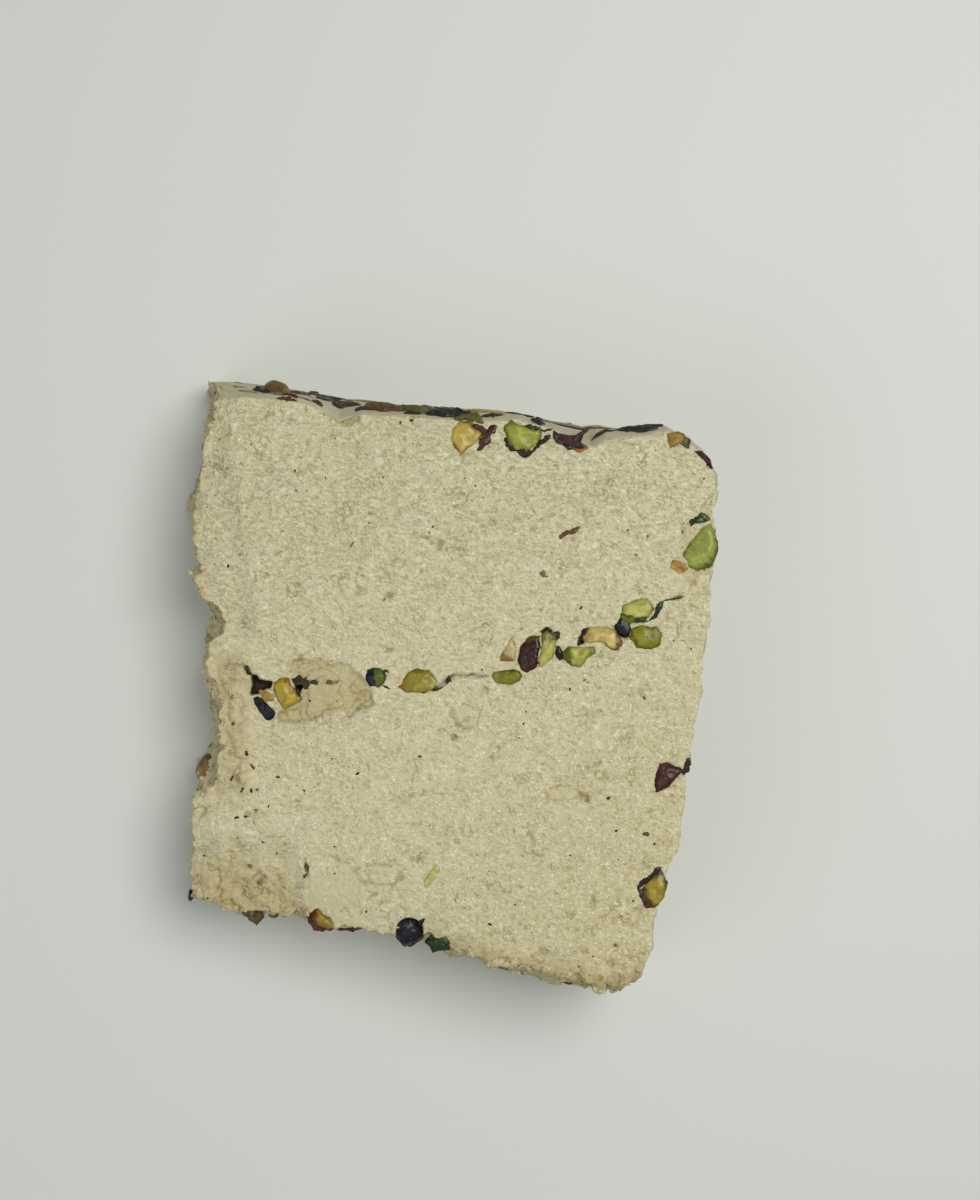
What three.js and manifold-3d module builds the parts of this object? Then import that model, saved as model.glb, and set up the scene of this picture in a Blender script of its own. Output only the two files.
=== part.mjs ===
// A wedge of pistachio halva lying on one of its knife-cut faces.
//
// The wedge was cut from a wheel whose height runs along Y here. Its other cut face looks up and slopes
// a little, because a wedge is thicker at the wheel's rim (+X) than at the tip (-X), which has broken off.
// The back (+Y) and the rim (+X) are the wheel's moulded skin, pressed full of pistachios. A layer of
// pistachios crosses the middle, and the halva has cracked along it. The front (-Y) and the tip are torn.
//
// Millimetres, +Z up. The origin is the middle of the footprint, on the surface that the wedge lies on.

import * as THREE from "three";
import { mergeVertices } from "three/addons/utils/BufferGeometryUtils.js";
import Module from "manifold-3d";

const wasm = await Module();
wasm.setup();

// ---------------------------------------------------------------- driving dimensions, mm

const TIP_THICKNESS = 29; // height of the upper cut face at the broken tip, x = -TIP_X
const RIM_THICKNESS = 41; // height of the upper cut face at the wheel's rim, x = +TIP_X
const TIP_X = 50;

// How much further out the foot of each side stands than its upper edge.
const FOOT = { back: 7, front: 2.5, tip: 3.5, rim: 1 };
const BACK_BULGE = 0.6; // the back swells out soon below its upper edge: power of the share of its depth
// Depth of the relief on each side: the moulded sides are smooth, the torn ones are craggy.
const CRAG = { back: 0.6, front: 3.2, tip: 3.6, rim: 0.6 };
const CRAG_SIZE = 9; // spacing of the crags
const WORN = 0.9; // how far the cut face is worn down along its torn edges
const TORN_STEP = 1.6; // drop from the cut face to the torn corner
const TORN_SLOPE = 0.12; // and how steeply that corner falls away
const CRACK_WIDTH = 0.7;
const CRACK_DEPTH = 4;

const GAP = 0.35; // clearance between a pistachio and its socket
const SOCKET_EXTRA = 1.12; // and how much larger a socket is, so that its flat facets clear the pistachio
const PROUD = 0.3; // how far a cut or flattened pistachio stands out of its surface
const FOOT_SINK = 1.2; // height of the middle of a pistachio sliced by the resting face
const FOOT_CLEARANCE = 0.2; // and how far its slice stays above that face
const MIDDLE = [-1.674, 2.046]; // middle of the footprint, in the outline's coordinates

const SIDE_FACETS = 26; // facets along each side of the block
const LEVELS = 8; // and up it
const FACE_INSETS = [0.018, 0.045, 0.085, 0.14, 0.21]; // rings of the cut face, as shares of its width

// ---------------------------------------------------------------- outline of the upper cut face

// Each side of the face is a ragged line: [along, across] points, along X for back and front, along Y for
// tip and rim. The ends of neighbouring sides meet at the face's four corners.
const BACK = [
  [-45.4, 55.7], [-34.6, 55.6], [-28.2, 54.5], [-24.9, 53.3], [-21.2, 50.7], [-16.7, 52.1], [-7, 51.7],
  [3.8, 50.4], [13.9, 50.9], [19.9, 48.9], [26.9, 45.6], [29.7, 47.4], [36.8, 47.6], [41, 48.4],
  [45.2, 46], [48.1, 42.9],
];
const RIM = [
  [-55.3, 35], [-53.6, 36.3], [-48.6, 38.1], [-40.8, 39.1], [-33.6, 41.3], [-29.3, 43.3], [-16.2, 44.6],
  [-8, 46], [2.2, 47.5], [13.5, 48.8], [20.9, 49], [27, 49.7], [34.6, 49.5], [37.2, 50.8], [39.4, 50.5],
  [42.9, 48.1],
];
const FRONT = [
  [-50.5, -40.9], [-40.8, -43.4], [-31.8, -44.4], [-27.9, -43.6], [-24.7, -45.4], [-16.7, -46.2],
  [-12.4, -48.1], [-10.8, -46.7], [-3.8, -46.9], [0.5, -50.3], [8.6, -52.9], [19.1, -54.2], [25, -55.2],
  [28, -57.2], [32.2, -56.8], [35, -55.3],
];
const TIP = [
  [-40.9, -50.5], [-36.7, -51.2], [-26.6, -50.2], [-21.9, -49.8], [-18.2, -45.4], [-9.9, -44.7],
  [-3, -44.7], [4, -47], [7.8, -46.1], [12.7, -42.9], [18.2, -47.6], [21.3, -49.8], [22.8, -48],
  [25.1, -49.6], [32.3, -49.6], [42.4, -48.5], [47.7, -47.6], [55.7, -45.4],
];

// The crack along the middle layer of pistachios.
const CRACK = [
  [-42.2, 5.3], [-38.6, 3], [-35.7, 0.4], [-28.5, 1.3], [-20, 1.4], [-10.8, 0.4], [-1.9, 0.5], [1, 2.9],
  [8, 2.8], [15.2, 6.4], [20.9, 6.1], [25.7, 8], [31.4, 9.5], [33, 12.6], [38, 13.9], [40.3, 17.1],
  [43.7, 17.9],
];

// ---------------------------------------------------------------- numbers and noise

const lerp = THREE.MathUtils.lerp;
const smooth = THREE.MathUtils.smoothstep;
const degrees = THREE.MathUtils.degToRad;

// Height of a ragged line at one place along it.
function along(line, at) {
  let i = 1;
  while (i < line.length - 1 && line[i][0] < at) i += 1;
  const [from, to] = [line[i - 1], line[i]];
  const share = THREE.MathUtils.clamp((at - from[0]) / (to[0] - from[0]), 0, 1);
  return lerp(from[1], to[1], share);
}

// A repeatable random number from 0 to 1 for a cell of a lattice.
function cellValue(x, y, z) {
  let h = Math.imul(x, 374761393) ^ Math.imul(y, 668265263) ^ Math.imul(z, 2147483647);
  h = Math.imul(h ^ (h >>> 13), 1274126177);
  h = Math.imul(h ^ (h >>> 16), 2246822519);
  return ((h ^ (h >>> 15)) >>> 0) / 4294967295;
}

// Smooth noise from -1 to 1: the lattice values around a point, blended.
function noise(x, y, z) {
  const [i, j, k] = [Math.floor(x), Math.floor(y), Math.floor(z)];
  const [u, v, w] = [smooth(x - i, 0, 1), smooth(y - j, 0, 1), smooth(z - k, 0, 1)];
  const row = (b, c) => lerp(cellValue(i, j + b, k + c), cellValue(i + 1, j + b, k + c), u);
  const slab = (c) => lerp(row(0, c), row(1, c), v);
  return 2 * lerp(slab(0), slab(1), w) - 1;
}

// Crags: large noise with half as much of a finer one.
function crags(x, y, z, size) {
  const [a, b, c] = [x / size, y / size, z / size];
  return (noise(a, b, c) + 0.5 * noise(2.1 * a + 17, 2.1 * b + 5, 2.1 * c + 9)) / 1.5;
}

// ---------------------------------------------------------------- solids

// A closed geometry as a manifold-3d solid.
function solidOf(geometry) {
  const bare = geometry.clone();
  bare.deleteAttribute("normal");
  bare.deleteAttribute("uv");
  const merged = mergeVertices(bare, 1e-4);
  return new wasm.Manifold(
    new wasm.Mesh({
      numProp: 3,
      vertProperties: new Float32Array(merged.attributes.position.array),
      triVerts: new Uint32Array(merged.index.array),
    }),
  );
}

// A manifold-3d solid as a geometry for a mesh.
function geometryOf(solid) {
  const mesh = solid.getMesh();
  const geometry = new THREE.BufferGeometry();
  geometry.setAttribute("position", new THREE.BufferAttribute(new Float32Array(mesh.vertProperties), 3));
  geometry.setIndex(new THREE.BufferAttribute(new Uint32Array(mesh.triVerts), 1));
  geometry.computeVertexNormals();
  return geometry;
}

// The largest separate piece of a solid: cutting can leave a loose scrap.
function largest(solid) {
  return solid.decompose().reduce((best, piece) => (piece.volume() > best.volume() ? piece : best));
}

// ---------------------------------------------------------------- the block of halva

// The front corner of the tip has torn away, a step below the cut face.
function tornCorner(x, y) {
  return smooth(-x, 26.5, 30) * smooth(-y, 27, 33);
}

// Height of the upper cut face.
function faceHeight(x, y) {
  const slope = lerp(TIP_THICKNESS, RIM_THICKNESS, (x + TIP_X) / (2 * TIP_X));
  const torn = tornCorner(x, y);
  const fall = TORN_STEP + TORN_SLOPE * (Math.max(0, -30 - x) + Math.max(0, -33 - y));
  const crumbled = crags(x, y, 7, 4);
  // The front and the tip are worn down along their edges.
  const wornFront = WORN * (1 - smooth(y - along(FRONT, x), 0, 7));
  const wornTip = WORN * (1 - smooth(x - along(TIP, y), 0, 6));
  const ragged = (1 + crags(x, y, 3, 5)) * Math.max(wornFront, wornTip);
  return slope - torn * (fall + crumbled) - (1 - torn) * ragged;
}

// A side's ragged line at one height: the raggedness of the cut edge is lost further down.
function sideLine(line, at, w) {
  const calm = [-12, -6, 0, 6, 12].reduce((sum, step) => sum + along(line, at + step) / 5, 0);
  return lerp(calm, along(line, at), 0.15 + 0.85 * smooth(w, 0.55, 0.95));
}

// The plan of the block at a share w of its height: its four sides, blended across the middle.
function plan(u, v, w) {
  const corner = (line, end) => line.at(end);
  const frontX = lerp(corner(FRONT, 0)[0], corner(FRONT, -1)[0], u);
  const backX = lerp(corner(BACK, 0)[0], corner(BACK, -1)[0], u);
  const tipY = lerp(corner(TIP, 0)[0], corner(TIP, -1)[0], v);
  const rimY = lerp(corner(RIM, 0)[0], corner(RIM, -1)[0], v);
  const frontY = sideLine(FRONT, frontX, w);
  const backY = sideLine(BACK, backX, w);
  const tipX = sideLine(TIP, tipY, w);
  const rimX = sideLine(RIM, rimY, w);
  // The mean of the two blends, less the blend of the corners, passes through all four sides.
  const cornerX = lerp(
    lerp(sideLine(TIP, TIP[0][0], w), sideLine(RIM, RIM[0][0], w), u),
    lerp(sideLine(TIP, TIP.at(-1)[0], w), sideLine(RIM, RIM.at(-1)[0], w), u),
    v,
  );
  const cornerY = lerp(
    lerp(sideLine(FRONT, FRONT[0][0], w), sideLine(FRONT, FRONT.at(-1)[0], w), u),
    lerp(sideLine(BACK, BACK[0][0], w), sideLine(BACK, BACK.at(-1)[0], w), u),
    v,
  );
  const x = lerp(frontX, backX, v) + lerp(tipX, rimX, u) - cornerX;
  const y = lerp(frontY, backY, v) + lerp(tipY, rimY, u) - cornerY;
  const foot = 1 - w;
  const swell = foot ** BACK_BULGE;
  return [x + foot * lerp(-FOOT.tip, FOOT.rim, u), y + lerp(-FOOT.front * foot, FOOT.back * swell, v)];
}

// How far a point of a side is pushed in plan by its crags. Nothing moves at the resting face.
function sideRelief(u, v, w, x, y, z) {
  const strength = smooth(w, 0, 0.15) * (1 - 0.8 * smooth(w, 0.85, 1));
  const push = crags(x, y, z, CRAG_SIZE) * strength;
  const onTip = u < 1e-6 ? -CRAG.tip : 0;
  const onRim = u > 1 - 1e-6 ? CRAG.rim : 0;
  const onFront = v < 1e-6 ? -CRAG.front : 0;
  const onBack = v > 1 - 1e-6 ? CRAG.back : 0;
  return [(onTip + onRim) * push, (onFront + onBack) * push];
}

// A point of the block's surface, from the shares of its width, depth and height.
function surface(u, v, w) {
  const [x, y] = plan(u, v, w);
  const z = w * faceHeight(x, y);
  const [dx, dy] = sideRelief(u, v, w, x, y, z);
  return [x + dx, y + dy, z];
}

// A place on the edge of the unit square, drawn in by an inset, for a step of a walk round it.
function squareEdge(step, inset) {
  const side = Math.floor(step / SIDE_FACETS);
  const share = (step % SIDE_FACETS) / SIDE_FACETS;
  const [u, v] = [[share, 0], [1, share], [1 - share, 1], [0, 1 - share]][side];
  return [lerp(inset, 1 - inset, u), lerp(inset, 1 - inset, v)];
}

// The block is a stack of rings: up the sides, then in over the cut face. A flat cap closes each end.
function blockGeometry() {
  const around = 4 * SIDE_FACETS;
  const rings = [
    ...Array.from({ length: LEVELS + 1 }, (_, i) => [0, i / LEVELS]),
    ...FACE_INSETS.map((inset) => [inset, 1]),
  ];
  const points = rings.flatMap(([inset, w]) =>
    Array.from({ length: around }, (_, step) => surface(...squareEdge(step, inset), w)),
  );
  const faces = [];
  for (let ring = 0; ring < rings.length - 1; ring += 1) {
    for (let step = 0; step < around; step += 1) {
      const next = (step + 1) % around;
      const [a, b] = [ring * around + step, ring * around + next];
      faces.push([a, b, b + around], [a, b + around, a + around]);
    }
  }
  const cap = (ring) => {
    const edge = points.slice(ring * around, (ring + 1) * around);
    const flat = edge.map(([x, y]) => new THREE.Vector2(x, y));
    return THREE.ShapeUtils.triangulateShape(flat, []).map((face) => face.map((i) => ring * around + i));
  };
  faces.push(...cap(rings.length - 1), ...cap(0).map(([a, b, c]) => [a, c, b]));
  const block = new THREE.BufferGeometry();
  block.setAttribute("position", new THREE.Float32BufferAttribute(points.flat(), 3));
  block.setIndex(faces.flat());
  return block;
}

// A thin wavy blade that opens the crack. It is widest in the middle and its foot follows the face.
function crackBlade() {
  const half = (i) => (CRACK_WIDTH / 2) * Math.sin((Math.PI * (i + 0.5)) / CRACK.length) ** 0.5;
  const near = CRACK.map(([x, y], i) => new THREE.Vector2(x, y - half(i)));
  const far = CRACK.map(([x, y], i) => new THREE.Vector2(x, y + half(i))).reverse();
  const blade = new THREE.ExtrudeGeometry(new THREE.Shape([...near, ...far]), {
    depth: 1,
    bevelEnabled: false,
  });
  const places = blade.attributes.position;
  for (let i = 0; i < places.count; i += 1) {
    const face = faceHeight(places.getX(i), places.getY(i));
    places.setZ(i, face + lerp(-CRACK_DEPTH, CRACK_DEPTH, places.getZ(i)));
  }
  return solidOf(blade);
}

// ---------------------------------------------------------------- pistachios

// A ball of 80 facets for what shows, one of 48 for the socket behind it, and one of 20 for a crumb.
const KERNEL_BALL = new THREE.IcosahedronGeometry(1, 1);
const SOCKET_BALL = new THREE.SphereGeometry(1, 8, 4).rotateX(Math.PI / 2);
const CRUMB_BALL = new THREE.IcosahedronGeometry(1, 0);

// A kernel: an egg pointed at one end, a little uneven, from its three half sizes.
function kernel(unitBall, size, grow, seed) {
  const ball = unitBall.clone();
  const places = ball.attributes.position;
  for (let i = 0; i < places.count; i += 1) {
    const [x, y, z] = [places.getX(i), places.getY(i), places.getZ(i)];
    const facet = 1 + 0.07 * noise(2 * x + seed, 2 * y, 2 * z);
    const pointed = 1 - 0.12 * x;
    places.setXYZ(
      i,
      (size[0] * facet + grow) * x,
      (size[1] * facet * pointed + grow) * y,
      (size[2] * facet * pointed + grow) * z,
    );
  }
  return ball;
}

// Where a pistachio sits: its middle, how it is turned in degrees, and the plane that cuts it off, if any:
// a point of it and the way it faces. The two cut faces are the knife's planes.
function onFace(x, y, sink, turn) {
  const height = faceHeight(x, y);
  const facing = [-(RIM_THICKNESS - TIP_THICKNESS) / (2 * TIP_X), 0, 1];
  const cut = { point: [x, y, height + PROUD], facing };
  return { at: [x, y, height - sink], spin: [0, 0, turn], cut };
}
function onFoot(x, y, turn) {
  const cut = { point: [x, y, FOOT_CLEARANCE], facing: [0, 0, -1] };
  return { at: [x, y, FOOT_SINK], spin: [0, 0, turn], cut };
}

// A share of the way along a side's line, for a place along it.
function share(line, at) {
  return (at - line[0][0]) / (line.at(-1)[0] - line[0][0]);
}

// The mould pressed the pistachios of the back and the rim flat: the plane is the side's own, a little
// further out, from two directions in the surface there.
function mouldPlane(u, v, height) {
  const step = 0.03;
  const [du, dv] = v === 1 ? [-step, 0] : [0, step];
  const between = (a, b) => new THREE.Vector3(...a).sub(new THREE.Vector3(...b));
  const level = between(surface(u + du, v + dv, height), surface(u - du, v - dv, height));
  const upward = between(surface(u, v, height + step), surface(u, v, height - step));
  const facing = level.cross(upward).normalize();
  const point = new THREE.Vector3(...surface(u, v, height)).addScaledVector(facing, PROUD);
  return { point: point.toArray(), facing: facing.toArray() };
}
function onBack(x, height, sink, turn) {
  const u = share(BACK, x);
  const [px, py, pz] = surface(u, 1, height);
  return { at: [px, py - sink, pz], spin: [90, 0, turn], cut: mouldPlane(u, 1, height) };
}
function onRim(y, height, sink, turn) {
  const v = share(RIM, y);
  const [px, py, pz] = surface(1, v, height);
  return { at: [px - sink, py, pz], spin: [90 + turn, 0, 90], cut: mouldPlane(1, v, height) };
}
// On the torn sides, and where one lies loose on the back, it is whole, sunk below the surface.
function onFront(x, height, sink, turn) {
  const [px, py, pz] = surface(share(FRONT, x), 0, height);
  return { at: [px, py + sink, pz], spin: [90, 0, turn] };
}
function onTip(y, height, sink, turn) {
  const [px, py, pz] = surface(0, share(TIP, y), height);
  return { at: [px + sink, py, pz], spin: [90 + turn, 0, 90] };
}
function whole({ at, spin }) {
  return { at, spin };
}

const COLOURS = {
  green: 0x7d9330, lime: 0xa9a946, olive: 0x8d8a2b, gold: 0xb48f35, amber: 0x9c6a22, peach: 0xb99458,
  plum: 0x3d1d1f, black: 0x14171f, fern: 0x35471f, brown: 0x70511f,
};

// Every pistachio that shows: name, colour, three half sizes, and place.
const PISTACHIOS = [
  ["back_gold", "gold", [3.3, 3.2, 3.6], onFace(3.5, 47.4, 1.2, 20)],
  ["back_green", "green", [3.8, 3.6, 4.2], onFace(13.9, 47.7, 1.2, 0)],
  ["back_curl", "plum", [3.4, 1.5, 2.6], onFace(23.3, 46.5, 0.8, -24)],
  ["corner_amber", "amber", [2.3, 1.6, 2.4], onFace(42.9, 46.4, 0.7, -30)],
  ["corner_plum", "plum", [2.7, 1.4, 3], onFace(47.7, 42.7, 1.6, -52)],
  ["rim_green", "green", [3.7, 4.7, 4.4], onFace(46.7, 27, 1.6, -12)],
  ["rim_fern", "fern", [2.2, 1.2, 1.6], onFace(46.4, 32.9, 0.7, 20)],
  ["rim_amber", "amber", [2, 1.5, 2.2], onFace(42, 22.9, 0.6, -20)],
  ["rim_plum", "plum", [2.6, 3.1, 3], onFace(40.9, -15.6, 0.9, -20)],
  ["rim_olive", "olive", [2.2, 3.7, 3.4], onFace(38.1, -36.9, 1, -32)],
  ["layer_black", "black", [1.8, 2.8, 2.2], onFace(-35.5, -3.5, 1.7, 32)],
  ["layer_gold", "gold", [2.4, 3.7, 3.2], onFace(-31, -0.4, 1.5, 24)],
  ["layer_bead", "fern", [2.1, 1.8, 2.2], onFace(-14.1, 2.5, 0.9, 0)],
  ["layer_yellow", "olive", [3.6, 2.3, 3.4], onFace(-5.6, 1.5, 1, 0)],
  ["layer_leaf", "green", [3.3, 1.5, 2.6], onFace(11, 2.5, 0.8, 4)],
  ["layer_sliver", "peach", [1.5, 2.4, 2], onFace(11.3, 7.6, 0.6, -20)],
  ["layer_plum", "plum", [2, 4, 3.6], onFace(15, 7.5, 1, -14)],
  ["layer_lime", "lime", [2.1, 3.8, 3.4], onFace(18.8, 8.5, 1, -10)],
  ["layer_pale", "lime", [3.3, 2.2, 3], onFace(24.4, 6.5, 0.9, 14)],
  ["layer_peach", "peach", [4.1, 2.3, 3.2], onFace(29, 10.4, 0.9, -15)],
  ["layer_olive", "olive", [3.3, 2.5, 3.2], onFace(36.8, 10.1, 0.8, 0)],
  ["layer_twin", "olive", [3.7, 2.2, 3], onFace(35.7, 15.5, 0.9, 8)],
  ["front_grey", "brown", [2.6, 1.9, 2.4], onFace(-38, -43.6, 3.4, -20)],
  ["front_amber", "amber", [3.2, 2.1, 2.8], onFace(-24.3, -44.2, 1.5, -25)],
  ["front_black", "black", [3.1, 3.1, 3.1], onFace(-7.5, -46.2, 2.2, 0)],
  ["front_fern", "fern", [2.4, 1.8, 2.4], onFace(-2.1, -48.3, 1.6, -15)],
  ["back_brown", "brown", [2.1, 4.2, 2.6], whole(onBack(-33.2, 0.62, 0.4, 24))],
  ["back_a", "gold", [5.2, 3.4, 3.2], onBack(-14, 0.4, 1.3, 35)],
  ["back_b", "plum", [5.6, 3.6, 3.2], onBack(-2, 0.66, 1.3, -20)],
  ["back_c", "lime", [5, 3.5, 3.2], onBack(8, 0.28, 1.3, 60)],
  ["back_d", "plum", [5.4, 3.4, 3], onBack(22, 0.6, 1.3, 10)],
  ["back_e", "green", [4.8, 3.6, 3.2], onBack(33, 0.3, 1.3, -40)],
  ["back_f", "fern", [4.6, 3.2, 3], onBack(-24, 0.22, 1.3, -10)],
  ["rim_a", "plum", [5, 3.4, 3.2], onRim(33, 0.35, 1.3, 30)],
  ["rim_b", "gold", [5.2, 3.4, 3.2], onRim(15, 0.52, 1.3, -35)],
  ["rim_c", "green", [4.8, 3.4, 3], onRim(-4, 0.32, 1.3, 70)],
  ["rim_d", "amber", [4.6, 3.2, 3], onRim(-31, 0.46, 1.3, 15)],
  ["front_a", "green", [4.4, 3.2, 3], onFront(12, 0.5, 1.6, 25)],
  ["front_b", "amber", [4.2, 3, 2.8], onFront(-17, 0.35, 1.6, -30)],
  ["tip_a", "amber", [4.4, 3.2, 3], onTip(-17, 0.62, 1.2, 10)],
  ["tip_b", "amber", [3.8, 2.8, 2.6], onTip(16, 0.4, 1.2, -25)],
  ["foot_a", "olive", [4, 2.6, 2.6], onFoot(-24, 3, 20)],
  ["foot_b", "green", [3.4, 2.8, 2.6], onFoot(-2, 1, -30)],
  ["foot_c", "lime", [3.8, 2.4, 2.4], onFoot(21, 7, 15)],
  ["foot_d", "plum", [3.2, 2.4, 2.4], onFoot(36, 15, 50)],
];

// Holes beside the pistachios of the middle layer, where the halva has opened: half sizes and place.
const HOLES = [
  [[2.6, 1.7, 3.4], onFace(-34.4, 1.6, 0, -10)],
  [[2.4, 0.9, 3], onFace(-26.4, 1.1, 0, 8)],
  [[0.9, 1.5, 3], onFace(21.2, 6.4, 0, 20)],
  [[1.5, 1.6, 3], onFace(32.9, 12.2, 0, 0)],
];

// One kernel in its place, with some clearance added where it stands for a socket.
function kernelInPlace(unitBall, size, place, grow, seed) {
  const shape = kernel(unitBall, size, grow, seed);
  const [x, y, z] = place.spin.map(degrees);
  shape.applyMatrix4(new THREE.Matrix4().makeRotationFromEuler(new THREE.Euler(x, y, z, "XYZ")));
  shape.translate(...place.at);
  return solidOf(shape);
}

// What a cut leaves: a box large enough to hold a pistachio, behind the cut's plane.
function behind({ point, facing }) {
  const reach = 30;
  const keep = new THREE.BoxGeometry(reach, reach, reach);
  keep.translate(0, 0, -reach / 2);
  const outward = new THREE.Vector3(...facing).normalize();
  keep.applyQuaternion(new THREE.Quaternion().setFromUnitVectors(new THREE.Vector3(0, 0, 1), outward));
  keep.translate(...point);
  return solidOf(keep);
}

function pistachioSolids() {
  const made = [];
  PISTACHIOS.forEach(([name, colour, size, place], seed) => {
    let solid = kernelInPlace(KERNEL_BALL, size, place, 0, seed);
    if (place.cut) solid = solid.intersect(behind(place.cut));
    for (const other of made) solid = solid.subtract(other.socket);
    const roomy = size.map((half) => half * SOCKET_EXTRA);
    const socket = kernelInPlace(SOCKET_BALL, roomy, place, GAP, seed);
    made.push({ name, colour, solid: largest(solid), socket });
  });
  return made;
}

// ---------------------------------------------------------------- crumbs and skins fused to the sides

// Pieces of pistachio skin pressed flat on the back, just under its upper edge: half length, half
// height, half thickness, and place.
const SKINS = [
  [[2.4, 1.2, 0.6], onBack(-21.5, 0.8, 0.1, 6)],
  [[2.6, 1.2, 0.6], onBack(-15, 0.84, 0.1, 4)],
  [[3.2, 1.4, 0.7], onBack(-9.6, 0.9, 0.1, 4)],
  [[3.4, 1.2, 0.8], onBack(-4.4, 0.84, 0.1, 5)],
  [[4.2, 1.5, 0.9], onBack(1.6, 0.87, 0.1, 8)],
  [[2, 1.1, 0.6], onBack(29.1, 0.84, 0.1, 3)],
  [[4.3, 1.3, 0.7], onBack(36.3, 0.9, 0.1, 2)],
];

// Each run of crumbs covers part of a torn side: the side, from and to along it, how many, radius.
const CRUMB_RUNS = [
  ["front", 0.55, 0.98, 13, 1.9],
  ["front", 0.02, 0.3, 6, 1.6],
  ["tip", 0.02, 0.5, 11, 1.8],
  ["tip", 0.55, 0.98, 6, 1.4],
];

function crumbSolids() {
  const crumbs = SKINS.map(([size, place], seed) => kernelInPlace(CRUMB_BALL, size, place, 0, seed));
  CRUMB_RUNS.forEach(([side, from, to, count, radius], run) => {
    for (let i = 0; i < count; i += 1) {
      const draw = (k) => cellValue(run * 31 + i, k, 77);
      const share = lerp(from, to, (i + draw(1)) / count);
      const height = 1 - 0.75 * draw(3) ** 1.5;
      const [x, y, z] = side === "tip" ? surface(0, share, height) : surface(share, 0, height);
      const size = radius * (0.6 + 0.8 * draw(2));
      const ball = kernel(CRUMB_BALL, [size, size * 0.85, size * 0.75], 0, run * 50 + i);
      ball.rotateZ(2 * Math.PI * draw(4));
      ball.translate(x, y, z - 0.8 * size);
      crumbs.push(solidOf(ball));
    }
  });
  return crumbs;
}

// ---------------------------------------------------------------- the wedge

function halvaSolid(pistachios) {
  let halva = solidOf(blockGeometry());
  for (const crumb of crumbSolids()) halva = halva.add(crumb);
  halva = halva.subtract(crackBlade());
  HOLES.forEach(([size, place], seed) => {
    halva = halva.subtract(kernelInPlace(SOCKET_BALL, size, place, 0, seed));
  });
  for (const { socket } of pistachios) halva = halva.subtract(socket);
  return largest(halva);
}

function piece(name, solid, colour, roughness) {
  const material = new THREE.MeshStandardMaterial({ color: colour, roughness, metalness: 0 });
  const mesh = new THREE.Mesh(geometryOf(solid), material);
  mesh.name = name;
  return mesh;
}

const wedge = new THREE.Group();
const pistachios = pistachioSolids();
wedge.add(piece("halva", halvaSolid(pistachios), 0xcfc597, 0.75));
for (const { name, colour, solid } of pistachios) {
  wedge.add(piece("pistachio_" + name, solid, COLOURS[colour], 0.45));
}
wedge.position.set(-MIDDLE[0], -MIDDLE[1], 0);

export default wedge;
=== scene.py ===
import math

import bpy
import numpy as np
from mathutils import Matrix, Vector


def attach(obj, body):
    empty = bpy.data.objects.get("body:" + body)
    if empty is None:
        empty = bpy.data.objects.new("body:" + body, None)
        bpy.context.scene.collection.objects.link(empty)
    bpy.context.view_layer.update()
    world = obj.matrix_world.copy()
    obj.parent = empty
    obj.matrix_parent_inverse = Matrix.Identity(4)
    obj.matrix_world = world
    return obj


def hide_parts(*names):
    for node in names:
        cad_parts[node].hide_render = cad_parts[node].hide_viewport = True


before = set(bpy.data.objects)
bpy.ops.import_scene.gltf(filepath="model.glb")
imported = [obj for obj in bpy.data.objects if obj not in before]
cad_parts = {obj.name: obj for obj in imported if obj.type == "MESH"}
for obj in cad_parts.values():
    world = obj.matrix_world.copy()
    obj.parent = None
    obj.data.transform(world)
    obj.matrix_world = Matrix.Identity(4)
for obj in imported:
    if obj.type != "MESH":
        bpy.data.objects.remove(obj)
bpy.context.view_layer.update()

# ---------------------------------------------------------------- sizes of the wedge, mm

MM = 0.001  # metres in a millimetre
TURN, HALF_TURN, QUARTER_TURN = 6.28, 3.14, 1.57  # radians, near enough for scattered things
MIDDLE = (-1.674, 2.046)  # middle of the footprint in the outline's coordinates
TIP_THICKNESS, RIM_THICKNESS, TIP_X = 29.0, 41.0, 50.0
FOOT_BACK, FOOT_FRONT, FOOT_TIP, FOOT_RIM = 7.0, 2.5, 3.5, 1.0
PROUD, FOOT_SINK, FOOT_CLEARANCE, FOOT_HOLLOW = 0.3, 1.2, 0.16, 0.28  # of the kernels cut or pressed flat
BACK_BULGE = 0.6
CRAG_BACK, CRAG_FRONT, CRAG_TIP, CRAG_RIM, CRAG_SIZE = 0.6, 3.2, 3.6, 0.6, 9.0
WORN, TORN_STEP, TORN_SLOPE = 0.9, 1.6, 0.12
WIDTH, DEPTH = 95.0, 108.0  # rough width and depth of the cut face

FACE_CELLS = 288  # mesh cells along each side of the cut face
LIP_ROWS = 12  # rows of cells that the cut face's piece hangs down over the sides
LIP_SHARE = 0.88  # share of the height at which that piece ends
SIDE_ROWS, FOOT_ROWS = 58, 16  # rows of the sides and over the resting face
SEAM = 0.0006  # share of the height by which the pieces of the halva overlap
SLICE_AROUND, SLICE_OVER, SLICE_DOWN = 96, 16, 12  # points round a sliced kernel, rings over it and down it
SLICE_DEPTH, SLICE_PROUD = 2.6, 0.14
WHOLE_AROUND, WHOLE_ROWS = 56, 30
STRIP_AROUND, STRIP_ROWS = 10, 28
SHRED_SIDES = 5  # points round a shred, and rings along it
SIDE_CRUMBS, FACE_CRUMBS = 1300, 7000  # of those tried on the face few are kept, and so with its shreds
SIDE_SHREDS, FACE_SHREDS, LEAST_SPECKS = 2600, 9000, 130
KNOBS, KNOBS_IN_FRONT, KNOBS_BEFORE_TIP = 110, 60, 85  # those after these lie at the torn corner's tip side
RIM_FLAKES, BACK_SMALL_FLAKES = 62, 88

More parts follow.
